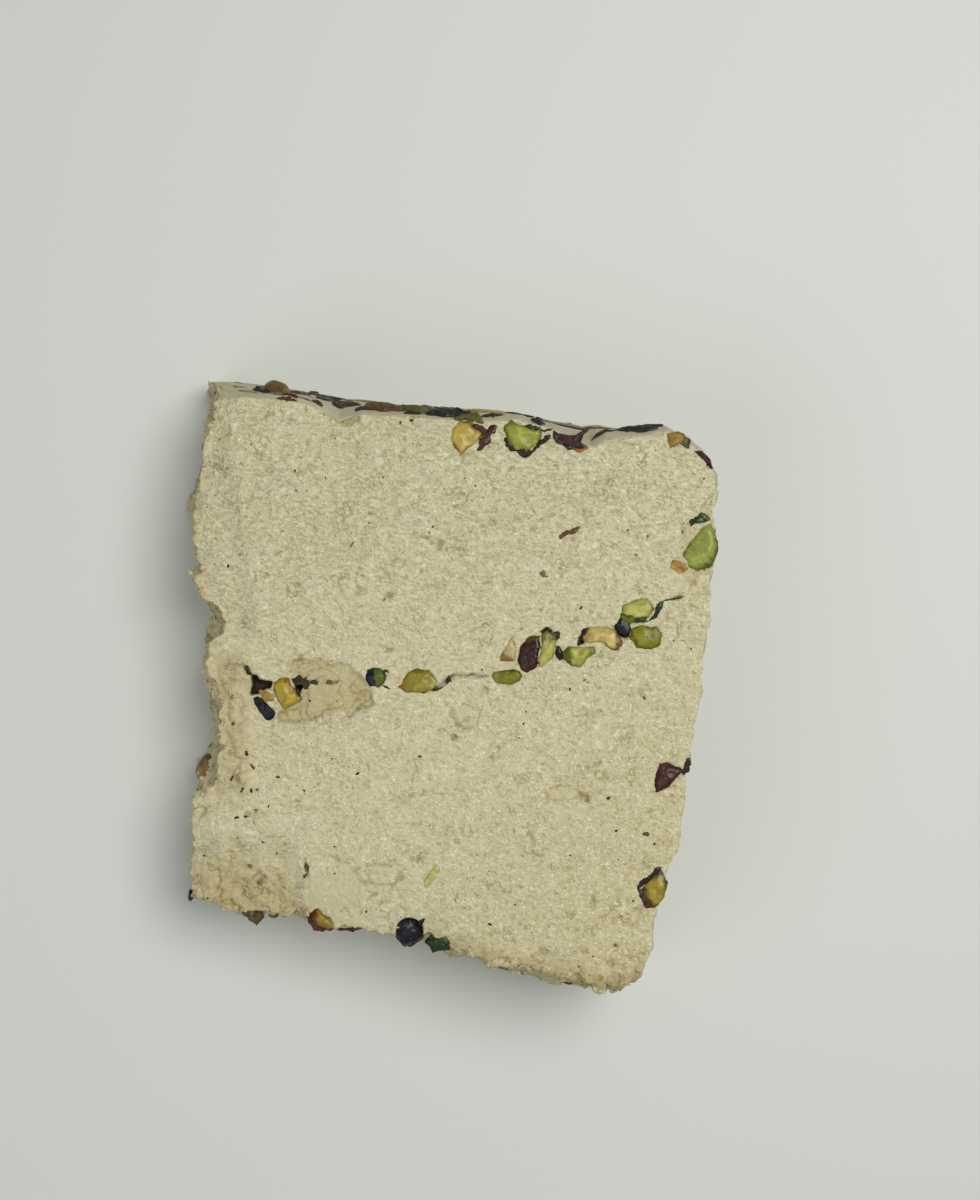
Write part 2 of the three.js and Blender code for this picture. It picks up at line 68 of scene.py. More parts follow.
# Each side of the cut face as a ragged line: [along, across].
BACK = [
    (-45.4, 55.7), (-34.6, 55.6), (-28.2, 54.5), (-24.9, 53.3), (-21.2, 50.7), (-16.7, 52.1), (-7, 51.7),
    (3.8, 50.4), (13.9, 50.9), (19.9, 48.9), (26.9, 45.6), (29.7, 47.4), (36.8, 47.6), (41, 48.4),
    (45.2, 46), (48.1, 42.9),
]
RIM = [
    (-55.3, 35), (-53.6, 36.3), (-48.6, 38.1), (-40.8, 39.1), (-33.6, 41.3), (-29.3, 43.3), (-16.2, 44.6),
    (-8, 46), (2.2, 47.5), (13.5, 48.8), (20.9, 49), (27, 49.7), (34.6, 49.5), (37.2, 50.8), (39.4, 50.5),
    (42.9, 48.1),
]
FRONT = [
    (-50.5, -40.9), (-40.8, -43.4), (-31.8, -44.4), (-27.9, -43.6), (-24.7, -45.4), (-16.7, -46.2),
    (-12.4, -48.1), (-10.8, -46.7), (-3.8, -46.9), (0.5, -50.3), (8.6, -52.9), (19.1, -54.2), (25, -55.2),
    (28, -57.2), (32.2, -56.8), (35, -55.3),
]
TIP = [
    (-40.9, -50.5), (-36.7, -51.2), (-26.6, -50.2), (-21.9, -49.8), (-18.2, -45.4), (-9.9, -44.7),
    (-3, -44.7), (4, -47), (7.8, -46.1), (12.7, -42.9), (18.2, -47.6), (21.3, -49.8), (22.8, -48),
    (25.1, -49.6), (32.3, -49.6), (42.4, -48.5), (47.7, -47.6), (55.7, -45.4),
]
CRACK = [
    (-42.2, 5.3), (-38.6, 3), (-35.7, 0.4), (-28.5, 1.3), (-20, 1.4), (-10.8, 0.4), (-1.9, 0.5), (1, 2.9),
    (8, 2.8), (15.2, 6.4), (20.9, 6.1), (25.7, 8), (31.4, 9.5), (33, 12.6), (38, 13.9), (40.3, 17.1),
    (43.7, 17.9),
]

# ---------------------------------------------------------------- numbers and noise


def smooth(value, low, high):
    """Smooth step: 0 below low, 1 above high, and 3t^2 - 2t^3 of the share t between."""
    t = np.clip((value - low) / (high - low), 0, 1)
    return t * t * (3 - 2 * t)


def lerp(a, b, share):
    return a + (b - a) * share


def along(line, at):
    """Height of a ragged line at places along it, straight between its points."""
    places, heights = np.array(line, float).T
    return np.interp(at, places, heights)


def cell_value(i, j, k):
    """A repeatable random number from 0 to 1 for a lattice cell: its three whole numbers are hashed in 32
    bits."""
    mask = np.uint64(0xFFFFFFFF)
    i, j, k = [np.asarray(n).astype(np.int64).astype(np.uint64) & mask for n in (i, j, k)]
    h = (i * np.uint64(374761393) ^ j * np.uint64(668265263) ^ k * np.uint64(2147483647)) & mask
    h = (h ^ h >> np.uint64(13)) * np.uint64(1274126177) & mask
    h = (h ^ h >> np.uint64(16)) * np.uint64(2246822519) & mask
    return (h ^ h >> np.uint64(15)).astype(float) / 4294967295.0


def noise(x, y, z):
    """Smooth noise from -1 to 1: the values of the eight lattice points around each point, blended."""
    x, y, z = np.broadcast_arrays(x, y, z)
    i, j, k = np.floor(x), np.floor(y), np.floor(z)
    u, v, w = smooth(x - i, 0, 1), smooth(y - j, 0, 1), smooth(z - k, 0, 1)

    def slab(c):
        near = lerp(cell_value(i, j, k + c), cell_value(i + 1, j, k + c), u)
        far = lerp(cell_value(i, j + 1, k + c), cell_value(i + 1, j + 1, k + c), u)
        return lerp(near, far, v)

    return 2 * lerp(slab(0), slab(1), w) - 1


def crags(x, y, z, size):
    """The part's crags: noise with half as much of a noise 2.1 times finer."""
    a, b, c = x / size, y / size, z / size
    return (noise(a, b, c) + 0.5 * noise(2.1 * a + 17, 2.1 * b + 5, 2.1 * c + 9)) / 1.5


def layers(x, y, z, size, octaves, fade=0.55):
    """Noise of several sizes added up, each about half as large and weak as the one before."""
    total, weight, strength = 0, 0, 1
    for octave in range(octaves):
        total = total + strength * noise(x / size + 31 * octave, y / size + 7 * octave, z / size + 3 * octave)
        weight += strength
        strength *= fade
        size /= 2.03
    return total / weight


def hump(distance, width):
    """A smooth hump: e to the minus square of the distance over the width."""
    return np.exp(-((distance / width) ** 2))


def from_line(x, y, line):
    """Distance from points to an open line of straight stretches."""
    near = np.full(np.shape(x), 1e9)
    for (ax, ay), (bx, by) in zip(line, line[1:]):
        ex, ey = bx - ax, by - ay
        share = np.clip(((x - ax) * ex + (y - ay) * ey) / (ex * ex + ey * ey + 1e-9), 0, 1)
        near = np.minimum(near, np.hypot(x - ax - share * ex, y - ay - share * ey))
    return near


def outside(x, y, outline):
    """Distance from points to a closed outline, negative inside it. Its edges that a ray to +X crosses are
    counted, and inside they are odd in number."""
    loop = [*outline, outline[0]]
    inside = np.zeros(np.shape(x), bool)
    for (ax, ay), (bx, by) in zip(loop, loop[1:]):
        if ay != by:
            inside ^= ((ay > y) != (by > y)) & (x < (bx - ax) * (y - ay) / (by - ay) + ax)
    near = from_line(x, y, loop)
    return np.where(inside, -near, near)


def linear(red, green, blue):
    """A colour from 0 to 255 as linear light."""
    c = np.array([red, green, blue], float) / 255
    return np.where(c <= 0.04045, c / 12.92, ((c + 0.055) / 1.055) ** 2.4)


# ---------------------------------------------------------------- form of the block


def slope(x):
    """Height of the knife's plane."""
    return lerp(TIP_THICKNESS, RIM_THICKNESS, (x + TIP_X) / (2 * TIP_X))


def torn_corner(x, y):
    return smooth(-x, 26.5, 30) * smooth(-y, 27, 33)


def face_height(x, y):
    """The part's upper face: the knife's plane, less the torn corner and the wear along the torn edges."""
    torn = torn_corner(x, y)
    fall = TORN_STEP + TORN_SLOPE * (np.maximum(0, -30 - x) + np.maximum(0, -33 - y))
    worn_front = WORN * (1 - smooth(y - along(FRONT, x), 0, 7))
    worn_tip = WORN * (1 - smooth(x - along(TIP, y), 0, 6))
    ragged = (1 + crags(x, y, 3.0, 5)) * np.maximum(worn_front, worn_tip)
    return slope(x) - torn * (fall + crags(x, y, 7.0, 4)) - (1 - torn) * ragged


def side_line(line, at, w):
    """A side's ragged line, calmer further down: its mean over 24 mm takes over below the upper edge."""
    calm = sum(along(line, at + step) for step in (-12, -6, 0, 6, 12)) / 5
    return lerp(calm, along(line, at), 0.15 + 0.85 * smooth(w, 0.55, 0.95))


def plan(u, v, w):
    """The block's plan at a share w of its height: the sum of the two blends of its opposite sides, less the
    blend of its corners, and the spread of its foot."""
    front_x = lerp(FRONT[0][0], FRONT[-1][0], u)
    back_x = lerp(BACK[0][0], BACK[-1][0], u)
    tip_y = lerp(TIP[0][0], TIP[-1][0], v)
    rim_y = lerp(RIM[0][0], RIM[-1][0], v)

    def corner_blend(near_low, near_high, far_low, far_high):
        return lerp(lerp(near_low, near_high, u), lerp(far_low, far_high, u), v)

    corner_x = corner_blend(side_line(TIP, TIP[0][0], w), side_line(RIM, RIM[0][0], w),
                            side_line(TIP, TIP[-1][0], w), side_line(RIM, RIM[-1][0], w))
    corner_y = corner_blend(side_line(FRONT, FRONT[0][0], w), side_line(FRONT, FRONT[-1][0], w),
                            side_line(BACK, BACK[0][0], w), side_line(BACK, BACK[-1][0], w))
    x = lerp(front_x, back_x, v) + lerp(side_line(TIP, tip_y, w), side_line(RIM, rim_y, w), u) - corner_x
    y = lerp(side_line(FRONT, front_x, w), side_line(BACK, back_x, w), v) + lerp(tip_y, rim_y, u) - corner_y
    foot = 1 - w
    swell = foot**BACK_BULGE
    return x + foot * lerp(-FOOT_TIP, FOOT_RIM, u), y + lerp(-FOOT_FRONT * foot, FOOT_BACK * swell, v)


# ---------------------------------------------------------------- pistachios cut by the knife

# Outline of each sliced kernel on the cut face.
SLICES = {
    "back_gold": [(0.6, 49.5), (2, 51), (4.2, 50.9), (6.7, 48.6), (5.4, 47.1), (3.5, 45.6), (2.3, 44.6),
        (0.5, 46.8)],
    "back_green": [(10.3, 50), (10.8, 47.1), (12.7, 45.3), (15.4, 45.3), (17.1, 46.9), (17.6, 49),
        (14.4, 49.9), (11.7, 51)],
    "back_curl": [(19.8, 49), (21.1, 48.5), (23.2, 47.9), (25.5, 48.6), (24.9, 46.9), (26.4, 45.7),
        (24.2, 45.3), (21.9, 46), (20.3, 47.1)],
    "corner_amber": [(41, 48.3), (43.2, 48.6), (45.2, 47), (45, 45.3), (43.2, 46.4), (41.5, 45.4)],
    "corner_plum": [(46.1, 44.9), (47.6, 44.9), (48.9, 43.5), (49.4, 41.8), (48.2, 42.6), (46.9, 44)],
    "rim_green": [(43.6, 25.6), (45.6, 28.3), (48, 31), (49.2, 31.5), (50.7, 26.9), (49.2, 23.2),
        (46.3, 22.4), (44.9, 23.2)],
    "rim_fern": [(45.1, 30.7), (45.6, 32), (48, 33.4), (49.1, 32.1), (48, 31.5), (46, 31.5)],
    "rim_amber": [(41.5, 23.2), (41.9, 24.6), (43.9, 24.2), (44.9, 22.9), (43.2, 21.7)],
    "rim_plum": [(38.5, -16.9), (39, -15.4), (39.5, -13.5), (41.2, -13.3), (43.6, -14.4), (43.7, -15.1),
        (42.2, -16.8), (41.2, -18), (39.1, -19.1)],
    "rim_olive": [(35.9, -37.3), (37.5, -35.2), (39.9, -32.8), (41, -35.8), (40.6, -38.4), (38.8, -40.6),
        (36.9, -40.7)],
    "layer_black": [(-37.7, -1.8), (-37, -1.4), (-36.2, -1.7), (-35.2, -2.8), (-34.2, -3.6), (-33.2, -4.6),
        (-33.4, -5.5), (-34.4, -6.1), (-35.4, -5.7), (-36.5, -4.2), (-37.4, -2.9)],
    "layer_gold": [(-34, 0.9), (-32.4, 2.2), (-30.7, 2.1), (-29.8, 0.1), (-28, -2.4), (-29.8, -3.3),
        (-31.7, -4.2), (-33.1, -2.5), (-33.7, -0.6)],
    "layer_bead": [(-16.2, 2.3), (-15.7, 3.7), (-14.2, 4.3), (-12.7, 3.9), (-11.9, 2.7), (-12.3, 1.3),
        (-13.4, 0.4), (-15.1, 0.7)],
    "layer_yellow": [(-9.3, 0.6), (-8.6, 2.3), (-7.6, 3.6), (-5.9, 4), (-3.6, 3.7), (-2, 1.6), (-2.9, 0.1),
        (-5.2, -0.7), (-8.3, -0.6)],
    "layer_leaf": [(7.9, 2.4), (8.6, 3.6), (10.8, 3.9), (13, 3.9), (14.2, 3.1), (13.7, 1.9), (11.7, 0.9),
        (9.3, 1.4)],
    "layer_sliver": [(9.6, 5.5), (10, 6.7), (11.2, 9), (12.2, 10.4), (12.8, 8), (12.7, 5.6)],
    "layer_plum": [(13, 6), (13.5, 8.4), (15.1, 10.2), (17.1, 10.6), (17.4, 8.4), (16.8, 6.3), (16.7, 4.3),
        (14.7, 3.2), (13.6, 3.9)],
    "layer_lime": [(17.4, 10.6), (18.4, 11.8), (20.7, 10.2), (20.2, 8.4), (19.9, 6.3), (18.2, 4.8),
        (16.9, 4.2), (16.9, 6), (17.6, 8.4)],
    "layer_pale": [(21.3, 7.2), (22.5, 8.3), (24.9, 8.2), (27.6, 8.5), (27.9, 7.1), (26.3, 6.3),
        (24.9, 4.3), (23.2, 4.6), (21.5, 6)],
    "layer_peach": [(25.1, 10.4), (26.3, 11.9), (29.6, 12.3), (31.7, 11.1), (32.9, 9), (32, 7.5),
        (30.3, 7.8), (29.3, 8.9), (27.6, 9.2), (25.9, 8.9)],
    "layer_olive": [(34.1, 10.1), (34.3, 11.8), (36.4, 12.4), (39.1, 12.1), (40.1, 10.4), (39.7, 8.5),
        (38.1, 7.7), (35.4, 8)],
    "layer_twin": [(32.4, 14.6), (32.7, 16.1), (34.1, 16.8), (36.1, 17.5), (38.1, 17.2), (38.7, 15.3),
        (37.4, 13.8), (36.8, 13), (34.2, 12.7), (32.5, 12.9)],
    "front_grey": [(-40.5, -43.8), (-39.4, -43.1), (-36.7, -43.5), (-36.2, -44.7), (-37.7, -46.3)],
    "front_amber": [(-27.2, -44), (-26.9, -43), (-25.2, -41.8), (-24.3, -43.1), (-22.5, -44.1),
        (-21.9, -45.8), (-23.8, -46.2), (-26.2, -45.2)],
    "front_fern": [(-4.5, -48.1), (-3.4, -46.9), (-1.9, -47.2), (-0.4, -46.6), (0.2, -48.1), (0.1, -49.6),
        (-1.7, -49.7), (-2.9, -50)],
}
# Hollows beside them: outline and depth.
HOLLOWS = [
    ([(-38.3, 3), (-36.9, 2.9), (-36.5, 2.1), (-35.3, 1.7), (-33.9, 1.4), (-34.5, 0), (-35.9, -0.4),
        (-36.8, -1), (-38.7, -1.3), (-38, 0.3)], 3.0),
    ([(-30, 1.7), (-28.7, 1.1), (-27.4, 1.1), (-27.9, 0.4), (-28.5, -0.6), (-28.1, -1.9),
        (-29.3, -0.8)], 2.4),
    ([(19.9, 8.5), (21.2, 7.9), (21.5, 6), (20.3, 5.9)], 2.2),
    ([(24.3, 8.5), (24.8, 10.2), (26.3, 11.9), (25.6, 10.6), (25.8, 8.8)], 1.6),
    ([(30.8, 12.1), (32.1, 12.7), (33.9, 12.8), (34.2, 11.3), (34, 10.1), (32.7, 10)], 2),
    ([(-39.3, 4.9), (-38.6, 4.4), (-38, 2.7), (-38.8, 2.7), (-39.5, 4)], 1.6),
]
OILY_LUMPS = [
    (-31.2, 4.9), (-28.5, 5.5), (-23.8, 5.3), (-19.6, 4.4), (-16.5, 2.5), (-14.8, -0.2), (-14.8, -2.5),
    (-16.7, -4), (-19, -4.9), (-21.9, -4.2), (-24.3, -4.9), (-27, -6.1), (-30.4, -7), (-32.7, -6.5),
    (-32.9, -5.1), (-30.2, -4), (-27.7, -2.7), (-28.3, 0), (-29.3, 1.5), (-28.5, 2.9), (-30.8, 3.4),
]
EDGE_CHIP = [
    (-22, 51.5), (-20.7, 52.3), (-19, 52.8), (-16.9, 52.4), (-16.9, 51.3), (-18.6, 50.4), (-20.5, 50.3),
]
MOULDED_PATCH = [
    (24.1, 46.4), (25.3, 48), (27.9, 49.3), (30.8, 49.4), (36.1, 49), (40.5, 48.6), (40.1, 47.8),
    (36.1, 47.8), (31.9, 47.5), (29.6, 47.2), (28.1, 46.2), (27.4, 45.8), (25.6, 46.3),
]
BLACK_AT = (-7.5, -46.2)  # the round black kernel in the front edge
CORNER_STEP = [
    (-27.8, -32.7), (-27.6, -34.2), (-27.3, -35.3), (-28.6, -36.9), (-27.9, -38.2), (-28.2, -39.6),
    (-29.6, -40.9), (-29.1, -42.2), (-27.9, -43.9),
]
# Smooth blisters: x, y and half sizes.
BLISTERS = [(-13.4, -35.3, 4.1, 2.0), (3.2, -4.9, 2.6, 2.2), (21.5, -19.3, 3.6, 1.5), (-19, 51.2, 1.6, 0.8)]
# Pits: x, y, radius, depth and how much painted shade they hold.
PITS = [
    (-15.4, 34.6, 1.5, 0.25, 0.02), (-20.5, 30.6, 1.3, 0.2, 0.02), (-11.3, 17.9, 0.8, 0.6, 0.35),
    (25.3, -19.8, 1.3, 0.7, 0.3), (26.2, -20.7, 0.5, 0.4, 0.4), (0.9, -8.9, 0.9, 0.5, 0.25),
    (-38.8, -34.5, 0.7, 0.9, 0.45), (-36.7, -37.6, 1.1, 1.1, 0.4), (-18.3, -18.6, 1, 0.3, 0.05),
    (4, 30, 0.4, 0.4, 0.2), (13.5, 41.7, 1.2, 0.2, 0.02), (19.5, 16.8, 0.7, 0.4, 0.1),
    (26.2, -1.7, 0.6, 0.3, 0.05), (28.3, 31.7, 0.9, 0.2, 0.02), (17.7, -26.8, 0.9, 0.3, 0.12),
    (1.3, -28.8, 0.7, 0.4, 0.1), (13.5, -37.4, 0.7, 0.4, 0.1), (14.3, -44.8, 0.7, 0.5, 0.15),
    (7.9, -46.4, 0.7, 0.5, 0.15), (17.9, -49.2, 1.2, 0.4, 0.06), (31.5, -47.9, 0.6, 0.8, 0.45),
    (-43.9, 29.1, 0.9, 0.2, 0.02), (44.6, 20.9, 1, 0.3, 0.03), (46.9, 14.8, 1.5, 0.3, 0.02),
    (-44.6, 47.3, 0.8, 0.3, 0.1), (25.8, -49, 0.9, 0.5, 0.1), (35.1, -40.9, 0.5, 0.5, 0.3),
    (26.2, -14.4, 0.7, 0.4, 0.3), (-42.2, -31.7, 0.4, 0.6, 0.6), (-40.9, -28.9, 0.4, 0.6, 0.6),
    (-41.7, -6.7, 0.5, 0.8, 0.7), (-42, -1.7, 0.7, 0.5, 0.3), (-37.2, -23.4, 0.5, 0.6, 0.6),
    (-37, -19.4, 0.6, 0.7, 0.6), (-39, -24.3, 0.8, 0.4, 0.2), (-22.8, -35.3, 1.4, 0.3, 0.03),
    (30.4, -51.3, 1, 0.6, 0.1), (28.5, -54.1, 0.9, 0.6, 0.12),
]
# Dark specks on the cut face.
SPECKS = [
    (-38, 47.1), (-46.4, 43.9), (-44.8, 46), (-23.6, 40.5), (-12.5, 40.5), (-46.7, 35), (-29.5, 41.9),
    (-29.3, 38.1), (-15.2, 31.8), (-12.3, 17.2), (-3, 31), (-3.7, 29.9), (-40.3, 25.8), (-0.8, 38.1),
    (-24, 52.6), (-9.2, 50.9), (-7.1, 51.3), (5.1, 38.7), (3, 40.2), (33.7, 30.2), (43.9, 29.8), (37.4, 29),
    (18.6, 21.5), (35.2, 25.6), (47.8, 39.8), (-41.7, -1.2), (-40.4, -1.7), (-26.5, -2.2), (-21.3, -2.2),
    (-39.1, -12.5), (-37.8, -12.8), (-37.6, -15.1), (-33.1, -16.9), (-17.3, -16.1), (-22.4, -13.3),
    (-27.8, -19.4), (-5.5, -12.7), (-3.6, -25.8), (-38.1, -19.7), (-39.6, -19.1), (-34.7, -22.6),
    (14.7, -4), (14.2, -6.3), (13.4, -8.9), (22.9, 0.3), (25.6, 2), (36.8, -1.3), (42.2, 9.5), (45.4, 8),
    (24.9, 15.6), (0.7, -9.4), (4, 2.8), (6.3, 3.9), (-47.7, -32.7), (-47.1, -40.9), (-21.9, -30.1),
    (-33.2, -31.7), (-21.8, -35.2), (-15.8, -42.4), (31.6, -26.2), (40.5, -26.3), (38.7, -28.6),
    (32, -31.6), (23, -31), (20.4, -38.2), (12.6, -40.5), (23.1, -43), (32.7, -42.3), (27.2, -50),
    (24.6, -51.9), (26.5, -53.5), (34.7, -39.4), (19, 22.1),
]


# ---------------------------------------------------------------- relief of the cut face


def face_relief(x, y):
    """How far the cut face stands off the part's own face, and its four masks: torn, painted shade, tan,
    which is partly painted shade too, and smooth.

    Short fibres lie mostly along X, so their noise is long in X and short in Y, in axes that wander a
    little. Finer grain, wide swells, pits, the crack, cavities and the beds of the pistachios are added."""
    turn = 0.5 * noise(x / 14, y / 14, 4.0)
    across = y * np.cos(turn) - x * np.sin(turn)
    length = x * np.cos(turn) + y * np.sin(turn)
    curl = 0.6 * noise(x / 1.8, y / 1.8, 40.0)
    fibres = 1 - 2.4 * np.abs(noise(length / 2.4 + curl, across / 1.0 + curl, 2.0))
    fibres2 = 1 - 2.4 * np.abs(noise(length / 1.1 - curl, across / 1.5, 11.0))
    felted = np.maximum(fibres, fibres2 - 0.25)
    grain = noise(x / 0.8, y / 0.7, 6.0)
    swells = layers(x, y, 0.0, 9.0, 2)

    front = y - along(FRONT, x)
    tip = x - along(TIP, y)
    fringe = (1 - smooth(front, 1.5, 5.5)) * smooth(x, -6, 4) + 0.8 * (1 - smooth(front, 0.3, 2.2))
    margin = 1.05 * smooth(-x, 36.5, 40) * smooth(y, -24, -17) * (1 - smooth(y, 4, 9))
    edge = 0.7 * (1 - smooth(tip, 0.2, 1.6))
    crumbly = 0.6 * smooth(x, 41.5, 45) * smooth(y, 11, 14) * (1 - smooth(y, 29, 33))
    crumbly *= smooth(layers(x, y, 4.0, 3.0, 2), -0.2, 0.3)
    ragged = 4.5 * layers(x, y, 33.0, 7.0, 3)
    corner = smooth(-x - ragged, 26, 31) * smooth(-y - 1.3 * ragged, 29, 37)
    torn = np.clip(np.maximum.reduce([corner, fringe, 0.75 * margin, edge, crumbly]), 0, 1)
    calm = smooth(-x, 27, 29) * smooth(-y, 20, 22) * (1 - smooth(-y, 27, 30)) * smooth(-x, 44, 47)
    torn *= 1 - 0.6 * calm

    height = 0.12 * felted + 0.08 * grain + 0.08 * swells
    height += TORN_STEP * (torn_corner(x, y) - torn_corner(x + ragged, y + ragged + 2.0))
    # where it is torn, flakes lie over each other: a sawtooth of wide noise, with knobs between
    lay = 2.6 * layers(x, y, 8.0, 8.5, 2) + 0.3 * noise(x / 1.6, y / 1.6, 18.0)
    flake = lay - np.floor(lay)
    knobs = 1.7 * np.abs(noise(x / 2.6, y / 2.4, 3.0)) + 0.8 * np.abs(noise(x / 1.2, y / 1.1, 4.0)) - 0.6
    knobs *= lerp(1.0, 0.45, corner)
    wide = layers(x, y, 12.0, 5.0, 2)
    height += torn * (0.9 * (smooth(flake, 0.0, 0.1) - 0.75 * flake) + 0.85 * knobs + 1.2 * wide - 0.45)
    # painted shade under the edges of the flakes, in both masks, and between the knobs; the tan of the low
    # places is painted shade too, over the torn halva's own tone
    under = torn * (1 - smooth(flake, 0.02, 0.2)) * smooth(noise(x / 2.4, y / 2.4, 27.0), -0.3, 0.2)
    painted_shade = 0.26 * under + 0.12 * torn * smooth(-knobs, 0.2, 0.55)
    tan = torn * (0.25 + 0.2 * smooth(wide, 0.0, 0.5) + 0.3 * smooth(-wide - 0.8 * knobs, 0.0, 0.6))
    tan += 0.5 * under
    # painted shade along the torn fringe of the front, right of the middle
    painted_shade += 0.1 * fringe * smooth(x, -4, 4)
    tan *= (1 - 0.4 * smooth(x, -4, 4)) * (1 - 0.25 * margin)
    painted_shade *= 1 - 0.25 * margin
    swollen = smooth(swells + 0.3 * noise(x / 3, y / 3, 44.0), -0.5, 0.4)
    tan = np.maximum(tan, 0.42 * smooth(-felted, -0.1, 0.75) * swollen)

    # a shallow trough runs down the tip's side, with a band of painted shadow in it
    off_trough = x - lerp(-45.0, -38.8, (47.5 - y) / 38)
    reaches = smooth(y, 6, 14) * (1 - smooth(y, 44, 50))
    trough = hump(off_trough, 1.9) * reaches
    height += 0.2 * hump(off_trough - 2.9, 0.8) * reaches - 0.5 * trough
    painted_shade += 0.07 * trough
    # lumps of oily halva left of the middle: smooth terraces with thin brown edges, where painted shade
    # deepens the steps and the lumps' outline
    inward = -outside(x, y, OILY_LUMPS) + 0.7 * noise(x / 1.9, y / 1.5, 5.0)
    lump = smooth(inward, -0.1, 0.5)
    level = 2.6 * layers(x, y, 1.0, 6.0, 2) + 0.3 * inward + 0.15 * noise(x / 1.3, y / 1.3, 8.0)
    terrace = level - np.floor(level)
    edge_line = np.maximum((1 - smooth(terrace, 0.0, 0.2)) * lump, hump(inward, 0.4))
    edge_line *= smooth(noise(x / 2.4, y / 2.4, 9.0), -0.7, -0.1)
    rise = 0.45 * (np.floor(level) + smooth(terrace, 0.0, 0.2)) + 0.08 * noise(x / 1.5, y / 1.4, 3.0)
    height = height * (1 - 0.9 * lump) + lump * (rise - 0.25) + 0.3 * hump(inward + 0.6, 0.6)
    core = hump(x + 21, 5.5) * hump(y + 1.4, 3)
    tan = np.maximum(tan, lump * (0.5 + 0.1 * core) + 0.5 * edge_line)
    painted_shade += 0.2 * edge_line
    # smooth patches: the lumps, a plateau beside the torn corner, and blisters with a fine edge round them
    plateau = smooth(x, -28.2, -26.8) * (1 - smooth(x, -18, -15.5))
    plateau *= 1 - smooth(y + 0.3 * ragged, -36, -33.5)
    smear = np.maximum(0.55 * lump, 0.5 * plateau)
    for px, py, half_x, half_y in BLISTERS:
        d = np.hypot((x - px) / half_x, (y - py) / half_y) + 0.22 * noise(x / 1.5, y / 1.5, 6.0)
        ring = hump(d - 1, 0.1) * smooth(noise(x / 1.8, y / 1.8, 47.0), -0.6, 0.0)
        smear = np.maximum(smear, 0.4 * (1 - smooth(d, 0.8, 1.0)))
        height += 0.2 * (1 - smooth(d, 0.7, 1.0)) - 0.3 * ring
        # painted shade in the groove round each blister
        painted_shade += 0.13 * ring
        tan = np.maximum(tan, 0.7 * ring)
    chip = smooth(-outside(x, y, EDGE_CHIP), -0.3, 0.8)
    height -= 0.9 * chip
    tan = np.maximum(tan, 0.9 * chip)
    # the moulded skin shows where the knife ran out of it
    skin = smooth(-outside(x, y, MOULDED_PATCH), -0.2, 0.5)
    height = height * (1 - 0.85 * skin) - 0.45 * skin
    skin = np.maximum(skin, smear)
    # small pits and dents, most of them ochre inside and deepened inside with painted shade by each pit's
    # tone
    broken = smooth(1 - 3 * np.abs(noise(x / 1.6, y / 0.8, 31.0)), 0.2, 0.9)
    for px, py, radius, depth, tone in PITS:
        d = np.hypot(x - px, (y - py) * 1.25) / (radius * (1 + 0.5 * noise(x / 0.8 + px, y / 0.8, 1.0)))
        shown = broken if depth < 0.35 else 1.0
        bowl = (1 - smooth(d, 0.3, 1.15)) * shown
        height -= depth * bowl
        painted_shade += tone * bowl
        tan = np.maximum(tan, 0.75 * (1 - smooth(d, 0.4, 1.15)) * shown)
    # small arc-shaped dents, tan, with painted shade in them
    arc = 1 - smooth(np.abs(noise(x / 2.0, y / 1.5, 15.0)), 0.0, 0.14)
    arc *= smooth(noise(x / 1.7, y / 1.7, 51.0), 0.2, 0.45)
    small = arc * smooth(noise(x / 7 + 5, y / 7, 2.0), -0.1, 0.35)
    height -= 0.25 * small
    tan = np.maximum(tan, 0.7 * small)
    painted_shade += 0.16 * small

    # the crack, a hairline that opens beside the pistachios, with painted shade inside
    line = from_line(x, y + 0.35 * noise(x / 1.5, y / 1.5, 9.0), CRACK)
    opened = smooth(noise(x / 2.2, 3.0, 12.0), -0.1, 0.5)
    hair = (1 - smooth(line, 0.12, 0.42)) * opened
    height -= 0.8 * hair
    painted_shade += 0.5 * hair
    # the cleft along the torn corner's step: sunk and tan, with painted shade in places
    cleft = 1 - smooth(from_line(x + 0.4 * noise(x / 1.2, y / 1.2, 5.0), y, CORNER_STEP), 0.0, 0.45)
    cleft *= lerp(0.25, 1.0, smooth(y, -38, -35.5))
    height -= 0.5 * cleft
    tan = np.maximum(tan, 0.7 * cleft)
    painted_shade += 0.2 * cleft * smooth(noise(x / 1.6, y / 1.6, 3.0), -0.4, 0.1)
    # the hollows beside the kernels are wholly painted shade
    for hollow, deep in HOLLOWS:
        d = outside(x, y, hollow) + 0.22 * noise(x / 0.9, y / 0.9, 14.0)
        height -= deep * smooth(-d, -0.15, 0.55)
        painted_shade += smooth(-d, -0.12, 0.35)
    # the bed under each sliced kernel is painted shade where it shows round the kernel
    for outline in SLICES.values():
        d = outside(x, y, outline)
        bed = smooth(-d + 0.25 * noise(x / 1.3, y / 1.3, 61.0), 0.15, 0.6)
        height = height * (1 - bed) - 1.9 * bed + 0.1 * hump(d - 0.4, 0.5)
        painted_shade += 0.8 * smooth(-d, 0.3, 0.7)
    # the round black kernel's bed is painted shade too
    round_bed = smooth(2.75 - np.hypot(x - BLACK_AT[0], y - BLACK_AT[1]), 0.0, 0.4)
    height = height * (1 - round_bed) - 2.4 * round_bed
    painted_shade += 0.8 * round_bed
    return height, torn, np.clip(painted_shade, 0, 1), np.clip(tan, 0, 1), skin


